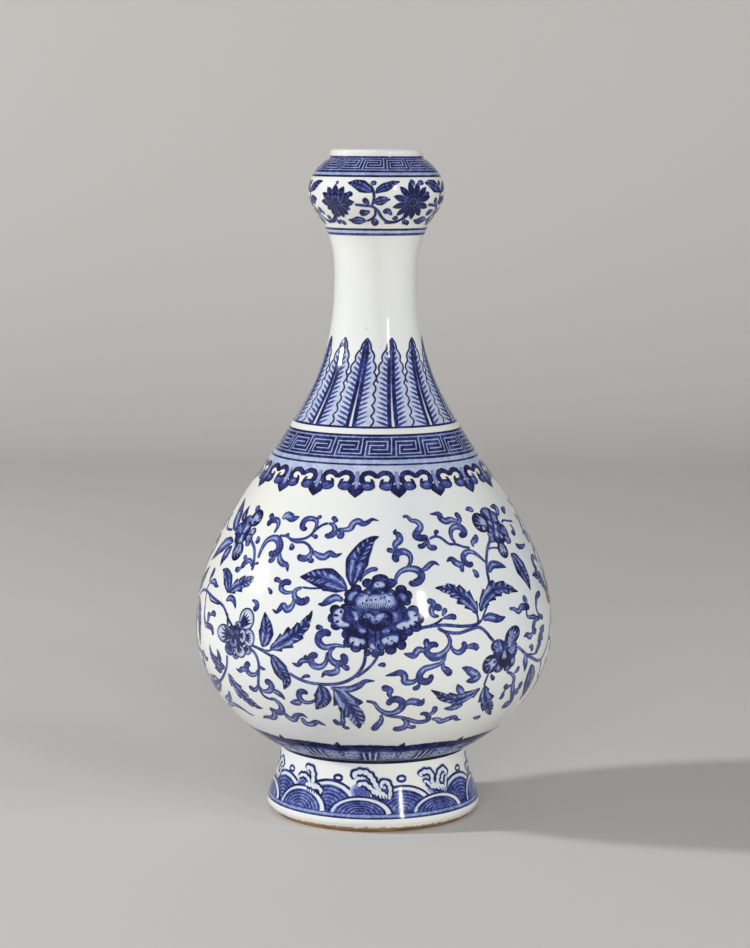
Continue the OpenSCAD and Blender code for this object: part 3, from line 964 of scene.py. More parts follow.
# %% [markdown]
# ## Flowers round the head
# Lotus and daisy take turns round the bulb, about 72 degrees apart, and the same spray of leaves links each to the
# next. With five flowers, two lotuses meet at the back.

# %% Lotus, daisy and spray
HEAD_LEAVES = [
    (2.1, -4, 293.4, -6.4, 294.6, -11, 295.8, -18, 297, -25, 297.4),
    (1.5, -1, 293.2, 3, 294.8, 9, 296, 15, 297.4, 20.5, 298), (1.6, -2.6, 289.4, 3, 290, 8, 290.6, 12, 290.6),
    (1.6, -10, 280.4, -16, 280.8, -23, 280.4, -29.5, 281),
]
HEAD_DABS = [
    (1.0, -5, 296.4, -2.5, 297.4, -0.5, 296.6), (1.1, -6, 288.6, -9, 290, -12, 290.3),
    (1.4, -5.5, 285.4, -11, 284.6, -16, 284.6), (1.5, -1, 282, -1.6, 280, 2.6, 279.2),
    (1.1, 15, 283.4, 12.5, 284.6, 9.5, 285.8, 8, 284), (1.1, 15.6, 281.4, 19, 282, 21, 282.8),
    (0.8, 13, 280, 15.5, 279.2), (0.9, 27, 281.6, 30, 280, 32.5, 279), (0.9, -40, 281, -36, 279.4, -33, 279.4),
    (0.9, -26, 292.2, -23, 293, -20.5, 292),
]
HEAD_STEMS = [
    (0.55, -19, 288.4, -11, 288, -4, 287.6, 1, 285.8, 5, 282.6, 10, 280.5, 18, 280, 26, 281.4, 31, 284),
    (0.5, -3.6, 288, -2, 291, -2.4, 293.6, -4.4, 296.2), (0.45, -1, 286.6, -1, 283.6, -5, 281.4, -10, 280.4),
    (0.5, -62, 279.6, -50, 279.9, -44, 281.6, -41, 284),
]


def spray_unit():
    """Leaves, dabs and stems between two flowers."""
    unit = Sheet("unit")
    paint_all(unit, "stem", HEAD_STEMS, core=0.62, edge=0.9)
    for half, *spots in HEAD_LEAVES:
        leaf(unit, half, spots, core=0.62, edge=0.98, veins=4)
    paint_all(unit, "curl", HEAD_DABS, core=0.6, edge=0.9)
    return unit


def head_petal(unit, turn, run, angle, inner, long, half, lift):
    """A petal from inner to long mm away from a point, at an angle in degrees: dark, with a thin pale border that
    parts it from the petals under it, and a pale streak."""
    angle = math.radians(angle)
    way = np.array([math.cos(angle) / degree_at(run), math.sin(angle)])
    spots = [(turn, run) + way * d for d in (inner, 0.5 * (inner + long), 0.78 * long + 0.22 * inner, long)]
    widths = (half * 0.6, half, half * 0.75, 0.05)
    stroke(unit, [(*s, w) for s, w in zip(spots, widths)], 1.02, 0.32, 0.36, lift)
    stroke(unit, [(*s, w) for s, w in zip(spots[:3], (0.22, 0.2, 0.08))], 0.72, 0.8, 0.3, lift + 0.0015)


LOTUS_TURN, LOTUS_RUN, DAISY_TURN, DAISY_RUN, DAISY_PETALS = -36.5, 288.4, 32.8, 289.5, 12
LIFT_PETALS, LIFT_ROW, LIFT_PETAL = 0.08, 0.028, 0.003
LOTUS = [
    (8.6, 1.75, (172, 8, 145, 35, 118, 62, 90)), (6.6, 1.5, (200, 340, 228, 312, 256, 284)),
    (6.2, 1.75, (150, 30, 122, 58, 90)), (3.6, 1.6, (90,)),
]
LOTUS_TIP = [(-35.5, 296.6, 0.3), (-35, 297.6, 0.8), (-34.6, 298.2, 0.5)]
DAISY_EYE = [(3.0, 0.95), (2.1, 0.55), (1.7, 0.98)]
DAISY_CURLS = [(0.9, 33, 296, 32.6, 297.6, 29, 298), (0.9, 36.5, 296, 40, 297.6, 44, 297.2)]


def lotus_unit():
    """A dark lotus: rows of pointed petals that overlap upwards and droop below."""
    unit = Sheet("unit")
    for row, (long, half, angles) in enumerate(LOTUS):
        for k, angle in enumerate(angles):
            lift = LIFT_PETALS + LIFT_ROW * row + LIFT_PETAL * k
            head_petal(unit, LOTUS_TURN, LOTUS_RUN, angle, 0.6, long, half, lift)
    touch(unit, LIFT_STROKE, LOTUS_TURN, LOTUS_RUN, 1.6, 1.4, 0, 1.0, 1.0)
    stroke(unit, LOTUS_TIP, 0.7, 0.9)
    return unit


def daisy_unit():
    """A daisy: petals, a little longer to the sides, about a dark eye with a thin ring."""
    unit = Sheet("unit")
    for k in range(DAISY_PETALS):
        angle = 14 + 360 / DAISY_PETALS * k
        long = 8.4 + abs(math.cos(math.radians(angle)))
        head_petal(unit, DAISY_TURN, DAISY_RUN, angle, 1.8, long, 1.45, LIFT_PETALS + LIFT_PETAL * k)
    for wide, ink in DAISY_EYE:
        touch(unit, 0.16 - 0.01 * wide, DAISY_TURN, DAISY_RUN - 0.1, wide, 0.9 * wide, 0, ink, ink)
    paint_all(unit, "curl", DAISY_CURLS)
    return unit


head_flowers = Sheet("head_flowers")
head_flowers.add_sheet(spray_unit().copied([0, 70, 142, 215, 287]))
head_flowers.add_sheet(lotus_unit().copied([0, 141.5, 287]))
head_flowers.add_sheet(daisy_unit().copied([0, 145]))
head_flowers.piece()

# %% [markdown]
# ## The scroll round the belly
# A peony faces front, and thin stems wander from it to four smaller flowers and on to a fifth at the side, each
# stem sending out leaves, curls and flames until the white is filled evenly. The front half of the belly is painted
# here, and the back half is the same again. In every list a row is one stroke: its half width in mm (a leaf also has
# its number of teeth), then turn and run of the places it passes.

# %% Stems
BELLY_STEMS = [
    (0.6, -53.5, 138.6, -50.5, 136.4, -48.6, 134.6, -47.1, 131.6, -46, 127.5, -46.2, 125.4),
    (0.5, -38.4, 141.6, -35, 141.7, -32.4, 140.6, -28, 141.1, -25.3, 142.6, -23.4, 145.4, -21.1, 147.7, -18.6, 148.8),
    (0.55, -84, 106, -78, 110.6, -73, 112, -68, 111.4, -63, 110.3, -58.5, 109.4, -55.5, 107.8, -52.5, 104,
     -50, 101.5),
    (0.35, -69, 111.6, -66, 109.3, -61, 108.9, -57.5, 109.4), (0.5, -42, 95.6, -38.5, 94.8, -35, 93.2, -32.6, 92),
    (0.35, -38, 94.8, -35, 94.2, -33, 94.6),
    (0.6, -42, 94.4, -39.3, 92, -38.2, 88, -38.9, 83, -39.8, 78, -39, 74, -36.8, 72.4),
    (0.6, -27, 86, -24, 84, -20, 82.6, -14.5, 82.4, -9.5, 83.6, -5.6, 86.6, -3.2, 91, -2.4, 96),
    (0.5, -5.4, 86, -2.4, 89, -0.2, 92, 1.6, 96), (0.55, -52.8, 89, -53.8, 84.5, -56, 81, -59.5, 77.3, -64, 74.2),
    (0.55, -53.4, 106.4, -53, 103.6, -52.4, 101.4),
    (0.5, 20.8, 142, 23.4, 142.9, 25.6, 142.2, 28.4, 139.4, 31, 139, 34.2, 137.6, 37, 136.8),
    (0.6, 49, 139.6, 45.6, 136.2, 43, 131.6, 41.6, 126.4, 41.2, 121.6, 40, 119.6),
    (0.35, 45, 135.2, 47.6, 135.6, 51, 135), (0.6, 11, 104.8, 17, 106.2, 22, 106.4, 28, 105.4, 33, 105.4, 35.6, 107),
    (0.4, 12.5, 105, 16, 106, 19.6, 107.4, 21.8, 109.2),
    (0.6, 19.8, 105.4, 22.6, 103.6, 27, 102.8, 31, 103.8, 34.4, 104.2, 37, 101.8, 38.6, 99.4, 40, 97.8),
    (0.35, 33, 105, 34.2, 107, 34, 110), (0.35, 35.6, 106.8, 36.8, 109.4, 38.6, 112.6),
    (0.6, 51, 93.6, 54, 91, 57, 88.8, 61, 86.6, 66, 84.4, 70, 85, 74, 90, 79, 98, 85, 103.2, 91, 105.4, 96, 106),
    (0.45, 38.4, 84.4, 37.8, 81.6, 37.6, 79.2), (0.4, 60.4, 145.2, 63, 145.9, 66, 145.2, 71, 144.2),
    (0.5, -33.4, 140.6, -30, 139.6, -27, 139.8, -24.6, 138.6, -23.2, 136.6), (0.35, 57.4, 89.2, 61, 88.4, 64.4, 88.6),
    (0.35, -17.4, 121.4, -21, 121, -24, 121.2), (0.5, 83.5, 118, 81, 120.4, 79.4, 123.4),
    (0.5, 92.8, 142, 95.4, 142.9, 97.6, 142.2, 100.4, 140, 104, 139, 110, 139.6),
    (0.5, 68.4, 84.6, 70.4, 81.6, 71.6, 78.6, 72.6, 75.4), (0.45, -71.4, 111.8, -71.2, 109.4, -70.5, 107),
    (0.4, -72.4, 112, -71.6, 113.8, -70.4, 115.6), (0.5, 97.6, 88.6, 98.6, 86.4, 99.4, 84.4),
]
print("Stems:", len(BELLY_STEMS))

# %% Curls
BELLY_CURLS = [
    (1.2, -41.5, 142.4, -40.9, 145.5, -41.8, 147.6, -43.8, 148, -46, 147, -46, 144.8),
    (1.0, -44.6, 148.4, -46.4, 149.4, -48, 150),
    (1.5, -44.9, 130.8, -44.7, 135, -43.6, 138.7, -41, 140.2, -38.3, 139.6, -36.6, 137, -37.2, 134.2, -39.4, 133.6,
     -39.7, 134.9),
    (1.0, -37.2, 133.4, -38, 131.2, -39.8, 130.4), (1.1, -49.4, 140, -48.4, 138.4, -48.7, 136.6),
    (1.2, -46.6, 126.8, -47.8, 129, -49.8, 128.9, -51.2, 127.4, -51, 125.4), (0.9, -50.2, 129, -52.6, 130.9),
    (1.0, -51.4, 126.4, -53.4, 124.5, -55, 125.2), (0.5, -46, 127.6, -45, 128.6, -43.7, 128.8),
    (1.1, -24.2, 144.2, -23.4, 147, -23.8, 149.4, -26.4, 150.3, -29, 149.4, -29.5, 146.9, -28.2, 145.6, -27.3, 146.4),
    (0.8, -24, 149.8, -23, 151.2, -22.2, 150.6), (0.8, -24.6, 142.8, -23.2, 142.8, -21.8, 142),
    (1.2, -18.6, 148.8, -16.4, 148, -15.4, 146, -16.2, 144, -18, 143.4, -18.4, 144.4),
    (0.9, -16.2, 148.6, -16.2, 150.6, -17.7, 151.4), (0.8, -16.2, 150, -14.7, 150.4),
    (1.3, -15, 145.8, -13.2, 144, -12, 142.4), (0.8, -13.4, 144.4, -11.4, 144.4),
    (1.2, -24.6, 138.4, -23, 136.4, -23.6, 134, -25, 133, -27, 133.4, -27.2, 134.8),
    (1.1, -23.6, 134, -22.4, 132, -22.2, 131.2), (1.1, -32, 139, -31.2, 137, -30.6, 136.1),
    (1.3, -24, 121.2, -26.3, 119.6, -26.2, 117, -24, 115.2, -22, 116.2, -22.3, 117.6),
    (1.1, -26.6, 119.2, -29.4, 118.4, -31.6, 119.6, -31.5, 122, -29.6, 122.7, -28.4, 121.8),
    (0.9, -31.8, 121.8, -33.6, 123.2, -35.3, 123), (0.7, -37, 119.6, -35.8, 118.4, -35, 117),
    (1.2, -70.4, 115.6, -71.4, 117.6, -70.4, 120, -70.5, 122.4),
    (1.0, -42.6, 113.6, -40.6, 113, -40, 111.2, -41.4, 109.6),
    (1.1, -70.5, 107, -69.8, 102, -68, 98.8, -65, 98.6, -62.4, 98.2, -61.3, 95.4),
    (1.2, -66.4, 99.2, -65.8, 102, -66, 104.4), (1.0, -65, 103, -62.4, 104.5, -60.4, 103.9),
    (1.4, -37, 72.4, -34.6, 72.6, -32.8, 70, -33.2, 66.9, -35.4, 65.6, -37.2, 66.4, -37.4, 68),
    (1.2, -38.6, 85.6, -40, 83.4, -42.4, 83, -43.9, 85, -42.9, 87.2, -41.9, 86.6),
    (1.3, -39.6, 78, -38.4, 76.2, -36, 76.4, -34.3, 78.6, -35, 80.7, -36.8, 80.2),
    (1.0, -40.2, 78.4, -41.5, 76.2, -43.2, 76, -44.4, 77.4),
    (1.3, -8.4, 98.4, -11.6, 98.8, -15, 97.9, -17, 99.8, -16.8, 102.6, -14.8, 103.8, -13.3, 102.6),
    (0.9, -16.4, 103.4, -16.4, 105.3, -18.2, 105.8),
    (1.3, -11.6, 98.6, -13.3, 96.4, -13.4, 93.6, -11.6, 91.6, -9.4, 91.9, -8.9, 94, -10.2, 95),
    (1.0, -10, 91, -8.4, 89.9, -7.3, 89.4),
    (1.3, -14.2, 96, -14.6, 92, -16.4, 89.8, -18.6, 90.2, -19.6, 92.6, -18.4, 94.4, -17.4, 93.4),
    (0.8, -20, 92.4, -21.8, 93.8),
    (1.1, -18.6, 75.2, -20.5, 73.6, -23, 73.2, -24.6, 75.4, -24, 78, -22.3, 78.2, -21.7, 77),
    (1.0, -10.4, 71.4, -10.6, 67, -10.8, 63.4, -12.6, 62.8, -13.8, 65.2), (0.8, -10.6, 63, -10.4, 60.6, -8.6, 59.9),
    (0.5, -36, 142, -34.8, 142.6, -34, 142), (0.6, -23, 84.2, -21.4, 85.4, -19.8, 85.5),
    (1.3, 11.4, 151.9, 13.3, 152.2, 14.8, 150.4, 17.2, 149.7, 18.3, 147.5, 16.6, 145.2, 15.7, 143.6, 17.4, 142.6,
     20.6, 142.8),
    (0.9, 20.8, 142, 19.2, 140.4, 17.6, 139, 15.9, 139.5), (1.1, 20.4, 141.4, 20.2, 138.8, 22, 138.2, 22.9, 139.2),
    (0.8, 23.6, 143, 24.2, 144.8, 25.5, 144.7),
    (1.35, 7.2, 123.4, 7.2, 126, 8.8, 128.6, 11.6, 129.8, 14.6, 129.2, 16, 127, 15, 124.7, 12.6, 123.7, 12, 124.9),
    (1.3, 11.2, 130.2, 12.6, 132.6, 12.6, 135.4, 10.6, 137, 8.2, 136.4, 7.4, 134.2, 8.7, 133.2),
    (0.9, 7.8, 137, 5.8, 137.6, 4.3, 138),
    (1.3, 31.2, 139.4, 30.2, 142, 30.8, 145, 33, 146.5, 35.8, 146, 36.8, 144, 35.2, 142.6, 33.9, 143.4),
    (1.1, 34.2, 147.6, 36.2, 148.8, 36.4, 151, 35, 152.3),
    (1.1, 42, 130, 39.8, 133, 37.4, 135, 34.8, 135.2, 33, 133.6, 33, 131.4, 34.6, 129.8, 36.4, 130.6),
    (0.9, 32.2, 130.2, 31.2, 128.4, 31.9, 127.4), (1.1, 35.4, 127.8, 36.6, 126, 36.4, 124),
    (1.2, 38.6, 137, 38.8, 139, 40, 139.6, 41.4, 141, 40.8, 142),
    (1.2, 20.6, 110, 18.6, 110.6, 18.2, 112.8, 19.4, 114, 21.8, 112.8), (1.0, 18.4, 113, 19.2, 115.4, 16.9, 116.7),
    (0.9, 21.6, 110, 22.8, 112.4, 23.3, 113), (1.0, 21.8, 109.2, 23.4, 109.4, 25, 109.6, 26.4, 108.6),
    (1.2, 20.6, 105.2, 22.8, 102.8, 23.8, 99.6, 22.6, 96.4, 20, 94.4, 17.2, 94.6, 16, 96.8, 17.2, 98.6, 19, 98.8,
     19.3, 97.6),
    (1.1, 16.6, 97.4, 16, 99.8, 17, 101), (0.6, 22.6, 95.8, 21.2, 93.4, 18.4, 92.8, 16.6, 94),
    (1.1, 23.8, 98.8, 24.8, 96.2, 26.6, 95, 28.4, 96.2, 28.7, 98, 27.6, 98.3),
    (1.2, 28.8, 96.6, 31, 97, 32.8, 96.6, 33.3, 94.9),
    (1.3, 22.4, 95.4, 21.8, 92.6, 20.6, 91, 18, 90, 15.6, 89.2, 14.2, 87, 14.4, 84.6, 16.6, 83.7, 17.8, 85.4,
     17.1, 86.4),
    (0.9, 14.4, 83.8, 13.6, 81.2, 12.1, 81.2), (1.3, 21.6, 91.6, 21.6, 89.4, 23, 87.8, 24.5, 85.8),
    (0.8, 1.2, 91.2, 2.4, 91.4, 3.7, 91.2),
    (1.35, -2.4, 75.4, 0.2, 74.4, 1.6, 71.6, 4, 69.4, 7, 69.4, 9.2, 72, 9, 75, 6.8, 76.2, 5, 74.8, 5.5, 73.2),
    (1.2, 6, 76.4, 4.8, 78.6, 5.2, 80.4, 2.4, 82),
    (1.0, 2.4, 69.6, 5, 67.6, 9, 66.8, 12, 65.4, 15.6, 63.6, 19, 64.2, 18.8, 67, 17, 68.4, 16.1, 67.4),
    (1.1, 18.4, 66.8, 20.5, 68.8, 20.6, 70.6, 19.7, 71.2),
    (1.4, 9.6, 66.4, 11.6, 63.8, 11.2, 60.9, 8.8, 59.8, 7.3, 61), (1.0, 11.6, 62.8, 13.4, 60.8, 15.6, 60.8),
    (1.3, 2.6, 68.6, 2.6, 65, 1, 61.6, -0.2, 58.8), (0.8, 39.4, 84, 40.6, 82.2, 41.6, 81.5),
    (1.6, 56.4, 68.4, 55, 66.4, 53.2, 66.6, 54, 64.4), (1.0, 57.4, 92.2, 59.4, 91.8, 59.4, 89.8),
    (1.0, 38.2, 62.8, 40, 62.2, 42, 62.4),
    (1.2, 46.6, 83.8, 49.2, 82.4, 51.4, 80, 52, 76.6, 53.4, 73.4, 55.2, 70, 56, 66.8, 54.2, 64.4),
    (1.0, 51.6, 77, 49, 76.2, 47.2, 77.8), (0.9, 49.2, 76, 48, 73.6, 48.6, 71.6, 47, 71.8),
    (1.2, 53.4, 73.6, 56, 73.2, 57.5, 75, 56, 76.6), (0.9, 56, 72.8, 57.9, 70.8),
    (1.0, 50.6, 82.4, 52.2, 83.4, 52.4, 85.2),
    (1.3, 48, 109.8, 50.4, 109.2, 52.4, 107.9, 54.6, 109.3, 57, 109, 59.4, 108.4),
    (1.2, 57, 109.4, 57.8, 111.6, 56, 113),
    (0.9, 57.4, 108.6, 57, 105.6, 58.6, 104.3, 61.4, 104, 63.4, 102.8, 66.4, 103),
    (1.2, 65.4, 103, 62.6, 102.4, 60.6, 100.2, 61, 98, 62.6, 98.6), (1.1, 64.4, 105, 64.2, 108, 66, 111.4, 70, 112.4),
    (0.9, 64.4, 105.4, 66, 103.4, 69, 102), (1.0, 66.8, 143.6, 67.6, 141, 66, 139.4, 64.5, 140.5),
    (1.0, 72, 133.4, 68.4, 133, 65, 133.5, 63.3, 134.9), (1.3, 71, 151, 68, 150, 65.8, 149.4),
    (0.8, -4.8, 124.4, -3.6, 127.4, -1.2, 129.5, 1.3, 129.8),
    (1.2, 99, 84.6, 102.4, 85.8, 105.4, 83.6, 105.2, 80.2, 102.6, 79.4, 101.6, 81.2),
    (1.2, 79.2, 123.8, 76, 127, 73, 126.4, 72.4, 123.4, 74.6, 122.2),
    (1.2, 93, 121.6, 95.2, 125.4, 97.6, 129.6, 97, 133.6, 94.2, 134, 93.4, 131.8),
]
print("Curls:", len(BELLY_CURLS))

# %% Flames
BELLY_FLAMES = [
    (1.1, 105.2, 84, 108, 85.4, 110, 83.4, 112.6, 84.6), (1.1, 102.6, 79.2, 104, 76, 102.4, 73.4, 104.2, 70.6),
    (1.1, -35.8, 134.5, -35, 131.6, -33.2, 130, -31.5, 129.6, -30.5, 126.9),
    (1.1, -70, 116, -66.8, 117, -64.8, 116, -62.2, 115.6), (1.1, -55.4, 111, -53.5, 112.6, -51.2, 112, -49.5, 108.9),
    (1.2, -32.8, 67, -31.6, 63.8, -29.6, 62.6, -27.6, 65.4, -25.2, 66.2, -23.6, 64.4),
    (1.2, -25.8, 64.6, -25.2, 61.4, -22.8, 61, -20.5, 62.8, -18.6, 61.8, -17.2, 60.8),
    (1.1, -36.8, 67.5, -37.6, 63.4, -39.5, 61.6, -42.5, 61.4, -45, 60.2),
    (0.9, -43, 84.2, -45.5, 84.7, -47.3, 83.4, -49, 84.2), (0.6, -38.3, 87.6, -37.3, 86.6, -35.6, 86.2),
    (1.1, -34.6, 77, -32.6, 76.4, -31, 74.8, -30.3, 73.2), (1.2, -68, 64.2, -64, 66, -61, 67.5, -59, 70, -58.2, 71.8),
    (1.1, -73, 59.5, -68, 61.2, -63, 63.5, -58, 63.4, -55, 62.2, -52.6, 60.6, -50, 60),
    (1.2, -13.5, 80.9, -8, 80.6, -4.6, 82.4, -2.6, 84.4, 0.4, 84.6),
    (1.1, -11.2, 91.2, -11.2, 88.6, -13, 87.4, -15, 87.3, -16.2, 85.2),
    (0.9, -19.8, 91.6, -22.2, 91.8, -23.8, 89.8, -25.8, 90.5), (1.3, -24, 73.6, -26, 72.6, -28.6, 72.2),
    (1.1, -26.3, 116.5, -26.6, 113.6, -28.4, 111.5, -29.8, 113.2, -31, 111.6, -32.2, 110.2, -33.8, 111.2),
    (1.5, -40.2, 148.8, -38.6, 150.6, -36.8, 150.3, -34.8, 149.5, -32, 150.7),
    (1.1, -14.4, 146.4, -12, 146.2, -9.6, 146.8, -8.5, 149, -6.6, 150.2, -4.6, 149, -2.6, 149.8, -1, 151, 1.7, 150.4),
    (1.2, -22.6, 136.4, -20.4, 134.8, -18, 134.2, -16, 135.8, -13.8, 135, -11.5, 136.1),
    (1.3, -9.8, 116.8, -12.4, 117.8, -14.8, 116.2, -16.4, 114.9, -18, 114.9),
    (0.9, 15.6, 128.8, 17.6, 129.6, 19.8, 131.5, 21.4, 131.8, 22.9, 130.5),
    (1.2, 8, 137.6, 7.6, 140, 9.4, 142, 9, 144.4, 7.7, 145.2, 8.4, 146.8),
    (1.2, 36, 148.4, 32.4, 149.6, 29.6, 149.2, 27.8, 150.6, 27.6, 152.6, 25.4, 152.7, 23.3, 152.8),
    (1.2, 33, 131.4, 31.4, 130.2, 29.4, 131.2, 27.8, 133, 25.8, 131.9),
    (1.4, 42.2, 125.6, 44.4, 128.4, 47, 128.4, 49.4, 127.6, 51.5, 126.5),
    (1.2, 16, 96.6, 13.6, 97, 12.2, 95, 10.6, 95.2, 9, 95.8),
    (1.2, 13.8, 85.4, 12, 83.8, 9.6, 84.2, 9.4, 86.6, 8, 88, 6, 87.4, 3.5, 86.8),
    (1.4, 10, 73, 11.8, 74.8, 14, 74.4, 15.6, 73.6, 16.3, 76.2),
    (1.2, 20.4, 65, 22.8, 64.4, 24.6, 62.9, 27, 64, 29.4, 64.6, 31, 62.9, 33, 62.6),
    (1.5, 35.2, 84.3, 32.4, 85.6, 30, 87.6, 28, 88.6), (1.4, 35.6, 84.2, 32.6, 82.8, 30, 82.4),
    (1.5, 36, 107.2, 38.6, 107.8, 41, 107, 43.4, 106.4, 45.7, 106.8),
    (1.4, 55.4, 89.8, 56, 86.6, 56.8, 84, 56.8, 81.6), (1.1, 60.2, 97.8, 58, 96.5, 56, 97.6, 54.1, 97),
    (1.3, 60, 148.4, 61.4, 150, 62.4, 152, 58, 152.9), (1.0, 46, 152.4, 43.6, 153.5, 41.5, 153.2),
    (1.2, -59.8, 151.8, -58, 151.4, -56, 149.6), (1.3, 30, 76.8, 28.2, 79, 27, 81.6),
    (1.2, 31, 71.2, 27.4, 70.1, 24, 70.2),
]
print("Flames:", len(BELLY_FLAMES))

# %% Leaves
BELLY_LEAVES = [
    (2.6, 0, -55.2, 114.2, -56.2, 117.5, -58, 120.3, -60.5, 122.4, -63.2, 123),
    (3.2, 4, -55, 114.6, -52, 117.4, -48.5, 119.8, -45.5, 121.4, -42.2, 123.2),
    (3.7, 4, -53.8, 81, -53, 77.5, -51, 73.5, -48.2, 70, -45, 67.2, -41.8, 66.4),
    (2.2, 0, -55.2, 83.4, -58.5, 83.6, -61.5, 84.8, -63.5, 87, -64.2, 91),
    (1.4, 0, -58.4, 83.8, -58, 87.5, -58.8, 90.4), (1.3, 0, -57.4, 83, -60, 81, -63.2, 81.4),
    (4.2, 4, -62, 75.2, -66, 73.8, -70, 72, -74, 69.6, -79, 66),
    (3.0, 0, -36.6, 95.4, -35.7, 98.5, -35.3, 102.5, -35.8, 106, -36.5, 109.7),
    (3.7, 5, -33.6, 95, -30.5, 97.2, -26.5, 100.6, -23, 104.5, -20.6, 109, -19.6, 112.3),
    (2.8, 0, -33, 93, -31.6, 90, -29.8, 86.5, -28.3, 82.5, -29.7, 78.3),
    (3.0, 0, -17, 82, -16.3, 78.8, -16.6, 75.5, -18, 72.4, -19.5, 69.9),
    (5.4, 3, -12.4, 81.4, -10.2, 77.6, -8.2, 73, -6.4, 68.4, -5.4, 64.4, -5, 60),
    (3.9, 0, -8.8, 121.2, -11.5, 122.8, -15.5, 124.9, -19.5, 125.6, -22.6, 125.5, -25.5, 125.3),
    (3.7, 0, -7.3, 122.4, -6.8, 128, -5.8, 133.4, -3.6, 138.6, -1, 142.2, 1.7, 143.6),
    (3.5, 0, 57, 131.6, 58.8, 129, 60.2, 125, 61.8, 120.4, 62.4, 114.8),
    (3.7, 5, 34.2, 109.6, 32.6, 113.4, 29.8, 117, 26.4, 119.9, 23, 121, 20, 121.5),
    (3.6, 5, 35.4, 110.4, 37.6, 114.6, 41.6, 118, 46, 118.7, 50, 117.6, 54.3, 115.8),
    (3.1, 3, 36.2, 78.4, 32.6, 75.6, 28, 74.2, 24, 75.6, 21, 77.6, 18.1, 80),
    (3.5, 3, 37.8, 79.4, 38.9, 75, 41, 71, 43.4, 67.4, 45.4, 64.6, 47.5, 62.1),
    (3.6, 0, 60.6, 84, 62, 80, 63.6, 75.4, 64.6, 70.6, 64.4, 65.8),
    (2.8, 3, 69.4, 99, 66.4, 96, 64.8, 92, 61.8, 88.4), (3.2, 4, 78, 111, 76, 116, 72, 119.4, 67, 120.4),
    (3.2, 4, 92.5, 108.5, 96, 112, 99.5, 116.4, 103, 121.8),
    (3.4, 4, 99.5, 107.2, 102.6, 103.4, 104.6, 98.6, 105.4, 93.4, 105, 88),
]
print("Leaves:", len(BELLY_LEAVES))

# %% Paint half of the scroll and copy it
HALVES = [0, 180]
SIDE_WINDOWS = [((3.5, 26), (122, 156), 72), ((-3, 25.5), (55, 106), 75)]


def with_side(rows):
    """The strokes of a list, and once more those that lie in a window of turns and runs, moved round to the side."""
    more = []
    for turns, runs, on in SIDE_WINDOWS:
        for half, *spots in rows:
            turn, run = np.reshape(spots, (-1, 2)).T
            if turns[0] < turn.min() and turn.max() < turns[1] and runs[0] < run.min() and run.max() < runs[1]:
                more.append((half, *np.stack([turn + on, run], 1).ravel()))
    return rows + more


vines = Sheet("belly_stems")
paint_all(vines, "stem", BELLY_STEMS, core=0.42, edge=0.84, lift=LIFT_FILL)
vines.copied(HALVES).piece()

belly = Sheet("belly_scroll")
paint_all(belly, "curl", with_side(BELLY_CURLS))
paint_all(belly, "flame", with_side(BELLY_FLAMES))
belly.copied(HALVES).piece()

foliage = Sheet("belly_leaves")
for half, teeth, *spots in BELLY_LEAVES:
    leaf(foliage, half, spots, teeth)
foliage.copied(HALVES).piece()

